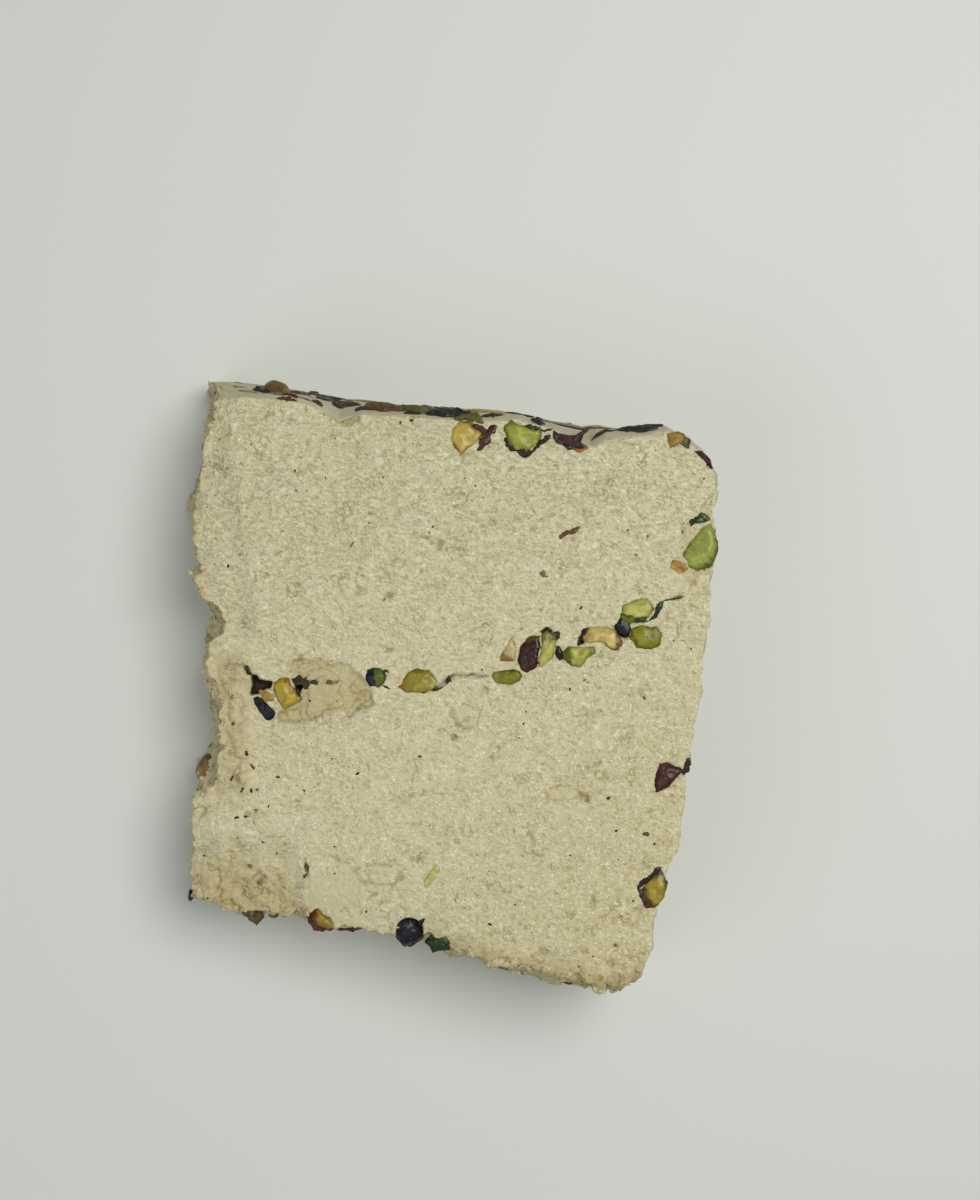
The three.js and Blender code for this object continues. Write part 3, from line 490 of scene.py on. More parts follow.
def wedge(u, v, w):
    """Points of the halva's surface and their masks, from the shares of its width, depth and height.

    The part's own form is followed: the plan, the sloping face and each side's crags. Finer crags of the
    torn sides and the low swells of the moulded ones push the plan out or in, and fade inside the face."""
    x, y = plan(u, v, w)
    z = w * face_height(x, y)
    low = smooth(w, 0, 0.12)
    strength = smooth(w, 0, 0.15) * (1 - 0.8 * smooth(w, 0.85, 1))
    push = crags(x, y, z, CRAG_SIZE) * strength
    clumps = (1.6 * np.abs(noise(x / 2.6, y / 2.6, z / 2.2))
              + 0.8 * np.abs(noise(x / 1.2 + 7, y / 1.2, z / 1.1)) - 0.6)
    upper = smooth(w, 0.7, 1)
    drawn_in = 0.5 + 1.1 * smooth(x, -8, 12)
    torn_push = layers(x, y, z, 5.0, 2) + 0.95 * clumps
    torn_push = low * (torn_push * (1 - 0.5 * upper * smooth(y, 20, 30)) - drawn_in * upper)
    dents = smooth(noise(x / 1.4, y / 1.4, z / 1.1), 0.55, 0.8)
    calm_push = low * (0.22 * layers(x, y, z, 5.0, 2) + 0.06 * noise(x / 0.7, y / 0.7, z / 0.7) - 0.3 * dents)
    fade = 1.6
    near_tip, near_rim = np.exp(-u * WIDTH / fade), np.exp(-(1 - u) * WIDTH / fade)
    near_front, near_back = np.exp(-v * DEPTH / fade), np.exp(-(1 - v) * DEPTH / fade)
    nicks = (1.1 * layers(x, y, z, 3.2, 3, 0.6) - 0.2) * smooth(w, 0.86, 0.985)
    x = x - near_tip * (CRAG_TIP * push + torn_push) + near_rim * (CRAG_RIM * push + calm_push + nicks)
    y = y - near_front * (CRAG_FRONT * push + torn_push) + near_back * (CRAG_BACK * push + calm_push)
    height, torn, painted_shade, tan, skin = face_relief(x, y)
    on_face = smooth(w, 0.93, 1.0)
    z = z + on_face * height
    side_torn = np.clip(near_tip + near_front, 0, 1)
    side_skin = np.clip(near_back + near_rim, 0, 1)
    below = 1 - smooth(w, 0.975, 0.999)
    torn = np.maximum(torn * on_face, below * side_torn)
    # painted shade in the creases between the clumps of the torn sides, in both masks; the rest of their tan
    # comes in patches
    creased = smooth(-clumps, 0.1, 0.5)
    painted_shade = painted_shade * on_face + below * side_torn * 0.16 * creased
    tan_amount = 0.3 * smooth(layers(x, y, z, 8.0, 2), 0.0, 0.5) + 0.5 * creased
    tan = np.maximum(tan * on_face, below * side_torn * tan_amount)
    scuffed = smooth(layers(x, y, z, 7.0, 4, 0.6), 0.16, 0.42) * smooth(1 - w, 0.05, 0.12)
    skin = np.maximum(skin * on_face, below * side_skin * (1 - 0.8 * side_torn) * (1 - 0.7 * scuffed))
    tan = tan + below * side_skin * 0.35 * smooth(layers(x, y, z + 40, 9.0, 3), 0.1, 0.5)
    return np.stack([x, y, z], -1), np.stack([torn, painted_shade, tan, skin], -1)


# ---------------------------------------------------------------- meshes


def rows_of(parts):
    """The rows of numbers in several arrays as one array of rows."""
    return np.concatenate([np.reshape(part, (-1, np.shape(part)[-1])) for part in parts])


def make_piece(name, points, quads, triangles, colours):
    """A mesh object, moved to the frame in metres. points, in mm in the outline's coordinates, and colours
    are lists of arrays that follow each other."""
    points = (rows_of(points) - [*MIDDLE, 0]) * MM
    colours = rows_of(colours)
    if colours.shape[1] == 3:
        colours = np.column_stack([colours, np.ones(len(colours))])
    a, b, c = points[np.concatenate([quads[:, [0, 1, 2]], quads[:, [0, 2, 3]], triangles])].transpose(1, 0, 2)
    if (a * np.cross(b, c)).sum() < 0:  # the signed volume tells which way the faces point
        quads, triangles = quads[:, ::-1], triangles[:, ::-1]
    corners = np.concatenate([quads.ravel(), triangles.ravel()]).astype(np.int32)
    sizes = np.repeat([4, 3], [len(quads), len(triangles)]).astype(np.int32)
    mesh = bpy.data.meshes.new(name)
    mesh.vertices.add(len(points))
    mesh.vertices.foreach_set("co", points.astype(np.float32).ravel())
    mesh.loops.add(len(corners))
    mesh.loops.foreach_set("vertex_index", corners)
    mesh.polygons.add(len(sizes))
    mesh.polygons.foreach_set("loop_start", (np.cumsum(sizes) - sizes).astype(np.int32))
    mesh.polygons.foreach_set("loop_total", sizes)
    mesh.polygons.foreach_set("use_smooth", np.ones(len(sizes), bool))
    mesh.update(calc_edges=True)
    layer = mesh.attributes.new("tint", "FLOAT_COLOR", "POINT")
    layer.data.foreach_set("color", colours.astype(np.float32).ravel())
    piece = bpy.data.objects.new(name, mesh)
    bpy.context.scene.collection.objects.link(piece)
    return piece


def grid_quads(rows, columns, closed=False):
    """Quads of a grid of rows by columns of points, with its last column joined to the first if closed."""
    r, c = np.meshgrid(np.arange(rows - 1), np.arange(columns if closed else columns - 1), indexing="ij")
    a, b = r * columns + c, r * columns + (c + 1) % columns
    return np.stack([a, b, b + columns, a + columns], -1).reshape(-1, 4)


def ringed(rings, around):
    """Faces of rings of points, each ring joined to the next, and of a fan at each end to a pole. The poles
    are the two points after the rings."""
    count = rings * around
    first, last = np.arange(around), count - around + np.arange(around)
    fans = np.concatenate([np.stack([first, np.roll(first, -1), np.full(around, count)], -1),
                           np.stack([last, np.full(around, count + 1), np.roll(last, -1)], -1)])
    return grid_quads(rings, around, True)[:, ::-1], fans


def copies(faces, count, each):
    """The faces of many alike meshes: each mesh's points are numbered after those of the one before."""
    return (faces + each * np.arange(count)[:, None, None]).reshape(-1, faces.shape[1])


def ringed_pieces(name, points, rings, around, colours):
    """One piece of many small closed meshes of rings. points are the meshes' points, and colours have one
    row for each mesh or one for each of its points."""
    count, each = points.shape[:2]
    quads, fans = [copies(faces, count, each) for faces in ringed(rings, around)]
    colours = np.broadcast_to(colours, (count, each, colours.shape[-1]))
    return make_piece(name, [points], quads, fans, [colours])


def rim_walk(cells):
    """The points round the unit square in steps of one cell, from the corner u = v = 0 anticlockwise."""
    s = np.arange(cells) / cells
    u = np.concatenate([s, np.ones(cells), 1 - s, np.zeros(cells)])
    v = np.concatenate([np.zeros(cells), s, np.ones(cells), 1 - s])
    return u, v


def cut_face_piece():
    """The upper face as a grid of points, and rows that hang from its edge over the sides. A fan closes it
    below, inside the wedge."""
    n = FACE_CELLS
    v, u = np.meshgrid(np.arange(n + 1) / n, np.arange(n + 1) / n, indexing="ij")
    ring_u, ring_v = rim_walk(n)
    around = ring_u.size
    ring = (np.rint(ring_v * n) * (n + 1) + np.rint(ring_u * n)).astype(np.int64)
    # the last row lies just below the one before, so that the fan doesn't bend the shading of what shows
    shares = [lerp(1.0, LIP_SHARE, (row / LIP_ROWS) ** 1.2) for row in range(1, LIP_ROWS + 1)]
    rows = [wedge(u.ravel(), v.ravel(), np.ones(u.size))]
    rows += [wedge(ring_u, ring_v, np.full(around, w)) for w in shares + [LIP_SHARE - SEAM]]
    points, masks = [list(kind) for kind in zip(*rows)]
    quads, start = [grid_quads(n + 1, n + 1)], u.size
    for _ in rows[1:]:
        below = start + np.arange(around)
        quads.append(np.stack([ring, below, np.roll(below, -1), np.roll(ring, -1)], -1))
        ring, start = below, start + around
    fan = np.stack([ring, np.full(around, start), np.roll(ring, -1)], -1)
    points.append([[0, 0, 0.5 * TIP_THICKNESS]])
    masks.append(np.zeros((1, 4)))
    return make_piece("halva_cut_face", points, np.concatenate(quads), fan, masks)


def sides_piece():
    """The sides as rings of points, then rings over the resting face. Fans close both ends."""
    ring_u, ring_v = rim_walk(FACE_CELLS)
    around = ring_u.size
    rings = [(0.0, LIP_SHARE + SEAM)]
    rings += [(0.0, LIP_SHARE * (1 - row / SIDE_ROWS)) for row in range(SIDE_ROWS + 1)]
    rings += [(inset, 0.0) for inset in 0.496 * (np.arange(1, FOOT_ROWS + 1) / FOOT_ROWS) ** 1.7]
    points, masks = [], []
    for inset, w in rings:
        u, v = lerp(inset, 1 - inset, ring_u), lerp(inset, 1 - inset, ring_v)
        more, more_masks = wedge(u, v, np.full(around, w))
        if inset > 0:  # the resting face is a little hollow, so that the wedge stands on its edge
            x, y = more[:, 0], more[:, 1]
            more[:, 2] = FOOT_HOLLOW * smooth(inset, 0.0, 0.03) * (1 + 0.3 * layers(x, y, 5.0, 3.0, 2))
            tan_amount = smooth(layers(x, y, 21.0, 9.0, 4), 0.05, 0.45)
            calm = 0.3 * smooth(layers(x, y, 2.0, 16.0, 3), 0.0, 0.4)
            more_masks = np.stack([0.2 + 0.3 * tan_amount, 0 * x, 0.1 + 0.4 * tan_amount, calm], -1)
        points.append(more)
        masks.append(more_masks)
    points.append([[0, 0, 0.6 * TIP_THICKNESS], [0, 0, FOOT_HOLLOW]])
    masks.append([[0, 0, 0, 0], [0.2, 0, 0.2, 0]])
    return make_piece("halva_sides", points, *ringed(len(rings), around), masks)


def resample(points, count, closed):
    """Points at even steps along a line of straight stretches."""
    points = np.array(points, float)
    if closed:
        points = np.concatenate([points, points[:1]])
    steps = np.concatenate([[0], np.cumsum(np.hypot(*np.diff(points, axis=0).T))])
    at = np.linspace(0, steps[-1], count, endpoint=not closed)
    return np.stack([np.interp(at, steps, points[:, axis]) for axis in range(points.shape[1])], -1)


def flesh(colour):
    """The colour of a kernel's flesh or skin as linear light, deeper than it looks: its gloss adds white."""
    return np.maximum(0.8 * linear(*colour) - 0.012, 0.12 * linear(*colour))


def kernel_piece(name, rings, poles, paint):
    """A kernel from rings of points and its two poles, which take the mean colour of their rings."""
    return make_piece(name, [rings, poles], *ringed(*rings.shape[:2]), [paint, paint[[0, -1]].mean(1)])


def slice_piece(name, outline, look, seed):
    """A sliced kernel: rings of a closed outline, drawn in towards its middle over the top and again below.

    The top follows the knife's plane, a little domed and broken into facets by folded noise. The wall goes
    straight down and then in, as the cosine of a cube, to a pole under the middle."""
    over, down = SLICE_OVER, SLICE_DOWN
    edge = resample(outline, SLICE_AROUND, True)
    edge = (np.roll(edge, 1, 0) + 2 * edge + np.roll(edge, -1, 0)) / 4
    middle = edge.mean(0)
    size = np.hypot(*(edge - middle).T).mean()
    edge = middle + (edge - middle) * (1 + 0.1 / size)
    reach = np.concatenate([np.sin(0.5 * np.pi * (np.arange(over) + 0.5) / over), np.ones(1),
                            np.cos(0.5 * np.pi * ((np.arange(down) + 1) / (down + 0.4)) ** 3)])
    depth = np.concatenate([np.zeros(over + 1), (np.arange(down) + 1) / down]) * SLICE_DEPTH
    ring = middle + reach[:, None, None] * (edge - middle)
    x, y = ring[..., 0], ring[..., 1]
    wobble = 0.3 * noise(x + seed, y, depth[:, None] / 1.1 + 3) + 0.16 * noise(x / 0.4, y / 0.4 + seed, 1.0)
    wobble *= min(1.0, size / 2.6) ** 1.5 * reach[:, None] ** 2
    x, y = x + wobble, y + 0.8 * wobble
    r = np.broadcast_to(reach[:, None], x.shape)
    on_top = (depth == 0)[:, None]
    facet = 1 - np.abs(noise(x / 1.9 + 2 * seed, y / 1.9, seed + 0.5)) * 1.6
    fine = noise(x / 0.45, y / 0.45, seed + 0.2)
    dome = 0.5 * look.get("dome", 0.5)
    top = dome * (1 - r**2.4) + 0.3 * facet * (1 - r**4) + 0.04 * fine - 0.3 * r**10
    base = face_height(*middle) + SLICE_PROUD
    z = base + (slope(x) - slope(middle[0])) + np.where(on_top, top, top - depth[:, None])
    points = np.stack([x, y, z], -1)

    across, up = (x - middle[0]) / size, (y - middle[1]) / size
    mottle = 0.5 + 0.5 * noise(x / 0.9, y / 0.9, seed + 7.0)
    uneven = smooth(noise(across * 1.4 + seed, up * 1.4, 5.0), -0.4, 0.4)
    rim = (0.15 + 0.85 * uneven) * smooth(r, 0.62, 1.0) + 0.35 * mottle * (1 - 0.6 * r)
    paint = lerp(flesh(look["flesh"]), flesh(look["deep"]), np.clip(rim, 0, 1)[..., None])
    # painted light and shade on the facets: their ridges lighter, their folds darker
    painted_facet_light = 1 + 0.35 * smooth(facet, 0.55, 1.0) * (1 - r**3) - 0.3 * smooth(-facet, -0.1, 0.5)
    paint = paint * painted_facet_light[..., None]
    for turn, start, soft, colour in look["patches"]:
        reach_out = across * math.cos(math.radians(turn)) + up * math.sin(math.radians(turn))
        ragged = reach_out + 0.16 * noise(x / 0.7, y / 0.7, seed + 9.0)
        paint = lerp(paint, flesh(colour), smooth(ragged, start, start + soft)[..., None])
    wall = smooth(depth[:, None] + 0.3 * noise(x / 0.6, y / 0.6, 2.0) * (r > 0.9), 0.05, 0.7)
    lined = smooth(r, 0.86, 0.98) * smooth(noise(across * 1.2, up * 1.2 + seed, 15.0), 0.1, 0.4)
    for share in (0.85 * wall, 0.8 * lined):
        paint = lerp(paint, flesh(look["skin"]), share[..., None])
    poles = [[*middle, base + dome + 0.1], [*middle, base - SLICE_DEPTH]]
    return kernel_piece(name, points, poles, paint)


def spins(angles):
    """Rotation matrices Rz Ry Rx from rows of three angles."""
    ca, cb, cc = np.cos(angles).T
    sa, sb, sc = np.sin(angles).T
    return np.stack([np.stack([cc * cb, cc * sb * sa - sc * ca, cc * sb * ca + sc * sa], -1),
                     np.stack([sc * cb, sc * sb * sa + cc * ca, sc * sb * ca - cc * sa], -1),
                     np.stack([-sb, cb * sa, cb * ca], -1)], -2)


def whole_kernel(name, size, at, spin, plane, look, seed):
    """A whole kernel: a sphere in latitude and longitude about its long axis, stretched to its half sizes,
    pointed at one end, with faint ridges along it and wrinkles across. Where it has a plane, a point and
    the way it faces, what would stand out of it is pressed back to 0.12 mm times a hyperbolic tangent."""
    t, a = np.meshgrid(np.pi * (np.arange(WHOLE_ROWS) + 0.5) / WHOLE_ROWS,
                       2 * np.pi * np.arange(WHOLE_AROUND) / WHOLE_AROUND, indexing="ij")
    x, y, z = np.cos(t), np.sin(t) * np.cos(a), np.sin(t) * np.sin(a)
    facet = 1 + 0.07 * noise(2 * x + seed, 2 * y, 2 * z) + 0.02 * np.sin(9 * a + 3 * x) * np.sin(t)
    facet += 0.025 * noise(9 * x, 9 * y + seed, 9 * z) + 0.012 * noise(22 * x, 22 * y, 22 * z + seed)
    creases = smooth(0.22 - np.abs(noise(3.2 * x, 3.2 * y + seed, 3.2 * z)), 0.0, 0.22)
    facet -= look.get("wrinkled", 0.015) * creases
    pointed = 1 - 0.12 * x
    body = np.stack([facet * x, facet * pointed * y, facet * pointed * z], -1) * size
    # the matrix of the angles the other way round, Rx Ry Rz, turned over
    back = spins(-np.radians([spin]))[0]
    body = body @ back + at
    poles = np.array([[size[0], 0, 0], [-size[0], 0, 0]]) @ back + at
    if plane:
        for part in (body, poles):
            out = (part - plane[0]) @ plane[1]
            part -= np.where(out > 0, out - 0.12 * np.tanh(out / 0.8), 0)[..., None] * plane[1]
    side = 0.8 * noise(1.5 * x + seed, 1.5 * y, 1.5 * z) + 0.3 * x
    shown = smooth(side, look["bare"], look["bare"] + 0.16)
    mottle = 0.5 + 0.5 * noise(6 * x + seed, 6 * y, 6 * z)
    paint = lerp(flesh(look["skin"]), flesh(look["flesh"]), shown[..., None])
    paint = lerp(paint, flesh(look["deep"]), (0.55 * mottle)[..., None])
    return kernel_piece(name, body, poles, paint)


def look(slot, flesh, deep, patches, skin=(48, 34, 30), **more):
    """How a sliced kernel looks: the name of a material slot, which nothing uses, its flesh, the deeper
    colour of its rim, patches of other colours and its skin. A patch has a direction in degrees, the share of
    the kernel's size where it starts, and its softness. A dull kernel isn't glossy, and a dome is twice the
    height of its middle."""
    return {"slot": "kernel_" + slot, "flesh": flesh, "deep": deep, "patches": patches, "skin": skin, **more}


LOOKS = {
    "back_gold": look("gold", (208, 184, 98), (160, 132, 54), [(60, 0.45, 0.5, (128, 108, 44)),
        (-20, 0.75, 0.3, (110, 95, 40)), (190, 0.6, 0.4, (208, 178, 98))], skin=(84, 70, 34), dome=0.7),
    "back_green": look("green", (164, 168, 76), (112, 124, 42), [(95, 0.55, 0.3, (120, 132, 52)),
        (-80, 0.7, 0.3, (58, 70, 24)), (200, 0.6, 0.4, (112, 118, 40))], skin=(46, 56, 22), dome=0.8),
    "back_curl": look("plum", (72, 52, 48), (46, 36, 36), [(0, 0.9, 0.4, (150, 100, 58))], dull=True,
        dome=0.5),
    "corner_amber": look("amber", (164, 132, 60), (116, 94, 42), [(-10, 0.2, 0.4, (92, 84, 42))],
        skin=(70, 58, 30)),
    "corner_plum": look("plum", (72, 46, 38), (46, 32, 28), [(60, 0.4, 0.3, (104, 84, 44))], dull=True),
    "rim_green": look("green", (160, 166, 82), (104, 118, 42), [(150, 0.4, 0.4, (118, 120, 48)),
        (-60, 0.6, 0.3, (96, 104, 44)), (70, 0.7, 0.3, (160, 160, 88))], skin=(64, 74, 30), dome=0.9),
    "rim_fern": look("fern", (58, 72, 32), (40, 54, 24), [(60, 0.4, 0.3, (96, 96, 44))], dull=True),
    "rim_amber": look("amber", (180, 140, 60), (146, 110, 46), [(215, 0.2, 0.4, (198, 166, 96))],
        skin=(110, 80, 34)),
    "rim_plum": look("plum", (78, 50, 44), (52, 36, 34), [(110, 0.6, 0.3, (96, 66, 54))], skin=(40, 28, 26),
        dome=0.8),
    "rim_olive": look("olive", (168, 148, 58), (118, 104, 42), [(215, 0.35, 0.3, (88, 60, 26)),
        (0, 0.55, 0.3, (108, 108, 44)), (95, 0.6, 0.3, (70, 56, 34))], skin=(60, 44, 26), dome=0.6),
    "layer_black": look("black", (38, 38, 48), (24, 26, 34), [(100, 0.5, 0.3, (52, 52, 56))], dull=True,
        dome=0.6),
    "layer_gold": look("gold", (184, 162, 66), (150, 128, 46), [(35, 0.35, 0.3, (146, 104, 34)),
        (20, 0.75, 0.25, (104, 60, 24)), (-120, 0.5, 0.4, (170, 154, 62))], skin=(70, 50, 26), dome=0.8),
    "layer_bead": look("fern", (98, 112, 52), (60, 72, 36), [(190, 0.0, 0.25, (36, 40, 48)), (100, 0.6, 0.3,
        (50, 66, 36))], skin=(34, 38, 30), dome=0.8),
    "layer_yellow": look("olive", (164, 150, 64), (128, 118, 42), [(95, 0.5, 0.3, (120, 110, 36)),
        (0, 0.6, 0.4, (186, 176, 96)), (210, 0.5, 0.4, (152, 124, 48))], skin=(60, 60, 30), dome=0.7),
    "layer_leaf": look("green", (128, 130, 44), (92, 98, 36), [(95, 0.35, 0.3, (62, 72, 34)),
        (180, 0.6, 0.3, (150, 140, 64))], skin=(50, 60, 28)),
    "layer_sliver": look("peach", (204, 188, 136), (184, 164, 108), [(230, 0.3, 0.4, (150, 120, 62))],
        skin=(110, 84, 44)),
    "layer_plum": look("plum", (66, 42, 32), (44, 30, 26), [(-90, 0.4, 0.4, (76, 48, 40)), (90, 0.7, 0.3,
        (96, 76, 42))], skin=(36, 26, 22), dome=1.0),
    "layer_lime": look("lime", (186, 180, 100), (150, 146, 70), [(100, 0.2, 0.4, (126, 124, 50)),
        (20, 0.6, 0.3, (98, 100, 42)), (240, 0.7, 0.3, (196, 186, 116))], skin=(64, 70, 34), dome=0.7),
    "layer_pale": look("lime", (180, 176, 86), (130, 130, 50), [(180, 0.4, 0.3, (96, 104, 34)),
        (0, 0.55, 0.3, (122, 126, 44)), (90, 0.6, 0.3, (160, 150, 78))], skin=(60, 70, 30), dome=0.6),
    "layer_peach": look("peach", (202, 182, 110), (164, 142, 70), [(0, 0.65, 0.25, (124, 100, 56)),
        (-100, 0.6, 0.25, (104, 98, 40)), (180, 0.7, 0.3, (178, 148, 80))], skin=(90, 66, 36), dome=0.7),
    "layer_olive": look("olive", (142, 138, 46), (92, 100, 30), [(60, 0.6, 0.3, (110, 116, 40)),
        (200, 0.6, 0.3, (124, 112, 40))], skin=(54, 62, 26), dome=0.8),
    "layer_twin": look("olive", (186, 180, 98), (142, 140, 62), [(-100, 0.25, 0.15, (66, 68, 30)),
        (-100, 0.42, 0.15, (112, 122, 34)), (0, 0.75, 0.3, (120, 110, 44))], skin=(60, 66, 28), dome=0.7),
    "front_grey": look("brown", (96, 84, 50), (72, 62, 42), [(120, 0.5, 0.3, (112, 100, 74))], dull=True),
    "front_amber": look("amber", (150, 126, 50), (120, 96, 42), [(180, 0.1, 0.35, (112, 66, 30)),
        (180, 0.6, 0.3, (70, 42, 28)), (-95, 0.6, 0.3, (72, 50, 32)), (0, 0.5, 0.4, (158, 138, 56))],
        skin=(62, 40, 28), dome=0.8),
    "front_fern": look("fern", (46, 62, 30), (34, 46, 24), [(80, 0.3, 0.4, (84, 100, 62))], dull=True,
        dome=0.6),
}


# ---------------------------------------------------------------- places of the whole kernels


def part_surface(u, v, w):
    """The part's own surface: the plan, the sloping face and the crags of each side."""
    x, y = plan(u, v, w)
    z = w * face_height(x, y)
    push = crags(x, y, z, CRAG_SIZE) * smooth(w, 0, 0.15) * (1 - 0.8 * smooth(w, 0.85, 1))
    return np.array([x + push * (CRAG_RIM * (u == 1) - CRAG_TIP * (u == 0)),
                     y + push * (CRAG_BACK * (v == 1) - CRAG_FRONT * (v == 0)), z])


def share(line, at):
    return (at - line[0][0]) / (line[-1][0] - line[0][0])


def mould_plane(u, v, height):
    """The side's own plane at a place, PROUD further out, from two directions in the surface there."""
    step = 0.03
    du, dv = (-step, 0) if v == 1 else (0, step)
    level = part_surface(u + du, v + dv, height) - part_surface(u - du, v - dv, height)
    facing = np.cross(level, part_surface(u, v, height + step) - part_surface(u, v, height - step))
    facing /= np.linalg.norm(facing)
    return part_surface(u, v, height) + PROUD * facing, facing


def on_back(x, height, sink, turn, pressed=True):
    u = share(BACK, x)
    plane = mould_plane(u, 1, height) if pressed else None
    return part_surface(u, 1, height) - [0, sink, 0], (90, 0, turn), plane


def on_rim(y, height, sink, turn):
    v = share(RIM, y)
    return part_surface(1, v, height) - [sink, 0, 0], (90 + turn, 0, 90), mould_plane(1, v, height)


def on_front(x, height, sink, turn):
    return part_surface(share(FRONT, x), 0, height) + [0, sink, 0], (90, 0, turn), None


def on_tip(y, height, sink, turn):
    return part_surface(0, share(TIP, y), height) + [sink, 0, 0], (90 + turn, 0, 90), None


def on_foot(x, y, turn):
    plane = np.array([x, y, FOOT_CLEARANCE]), np.array([0, 0, -1.0])
    return np.array([x, y, FOOT_SINK]), (0, 0, turn), plane


def on_face(x, y, sink, turn):
    return np.array([x, y, face_height(x, y) - sink]), (0, 0, turn), None


PLUM_LOOK = {"skin": (70, 46, 44), "flesh": (112, 90, 48), "deep": (50, 36, 36), "bare": 0.4}
GREEN_LOOK = {"skin": (72, 58, 42), "flesh": (142, 146, 68), "deep": (100, 108, 46), "bare": -0.25}
GOLD_LOOK = {"skin": (92, 60, 34), "flesh": (186, 154, 72), "deep": (150, 118, 50), "bare": -0.2}
AMBER_LOOK = {"skin": (92, 64, 44), "flesh": (160, 128, 64), "deep": (114, 88, 48), "bare": -0.1}
LIME_LOOK = {"skin": (78, 66, 40), "flesh": (178, 172, 88), "deep": (134, 134, 56), "bare": -0.25}
FERN_LOOK = {"skin": (44, 52, 34), "flesh": (92, 104, 48), "deep": (42, 54, 26), "bare": 0.35}

# Every whole kernel: name, slot, three half sizes, place, look.
WHOLE = [
    ("front_black", "black", (3.0, 3.1, 2.9), on_face(*BLACK_AT, 2.2, 0),
     {"skin": (46, 46, 54), "flesh": (70, 54, 46), "deep": (30, 30, 34), "bare": 0.75, "wrinkled": 0.1}),
    ("back_brown", "brown", (2.1, 4.2, 2.6), on_back(-33.2, 0.62, 0.4, 24, False),
     {"skin": (112, 88, 30), "flesh": (142, 118, 44), "deep": (86, 62, 26), "bare": 0.2}),
    ("back_a", "gold", (5.2, 3.4, 3.2), on_back(-14, 0.4, 1.3, 35), GOLD_LOOK),
    ("back_b", "plum", (5.6, 3.6, 3.2), on_back(-2, 0.66, 1.3, -20), PLUM_LOOK),
    ("back_c", "lime", (5, 3.5, 3.2), on_back(8, 0.28, 1.3, 60), LIME_LOOK),
    ("back_d", "plum", (5.4, 3.4, 3), on_back(22, 0.6, 1.3, 10), PLUM_LOOK),
    ("back_e", "green", (4.8, 3.6, 3.2), on_back(33, 0.3, 1.3, -40), GREEN_LOOK),
    ("back_f", "fern", (4.6, 3.2, 3), on_back(-24, 0.22, 1.3, -10), FERN_LOOK),
    ("rim_a", "plum", (5, 3.4, 3.2), on_rim(33, 0.35, 1.3, 30), PLUM_LOOK),
    ("rim_b", "gold", (5.2, 3.4, 3.2), on_rim(15, 0.52, 1.3, -35), GOLD_LOOK),
    ("rim_c", "green", (4.8, 3.4, 3), on_rim(-4, 0.32, 1.3, 70), GREEN_LOOK),
    ("rim_d", "amber", (4.6, 3.2, 3), on_rim(-31, 0.46, 1.3, 15), AMBER_LOOK),
    ("front_a", "green", (4.4, 3.2, 3), on_front(12, 0.5, 1.6, 25), GREEN_LOOK),
    ("front_b", "amber", (4.2, 3, 2.8), on_front(-17, 0.35, 1.6, -30), AMBER_LOOK),
    ("tip_a", "amber", (4.4, 3.2, 3), on_tip(-17, 0.62, 1.2, 10), AMBER_LOOK),
    ("tip_b", "amber", (3.8, 2.8, 2.6), on_tip(16, 0.4, 1.2, -25), AMBER_LOOK),
    ("foot_a", "olive", (4, 2.6, 2.6), on_foot(-24, 3, 20), GOLD_LOOK),
    ("foot_b", "green", (3.4, 2.8, 2.6), on_foot(-2, 1, -30), GREEN_LOOK),
    ("foot_c", "lime", (3.8, 2.4, 2.4), on_foot(21, 7, 15), LIME_LOOK),
    ("foot_d", "plum", (3.2, 2.4, 2.4), on_foot(36, 15, 50), PLUM_LOOK),
]


# ---------------------------------------------------------------- skins, chips, specks, crumbs

NAVY, MAROON, BROWN, OLIVE, UMBER = (56, 52, 50), (84, 54, 42), (104, 80, 50), (98, 98, 48), (74, 62, 44)
SLIVER = (204, 200, 118)

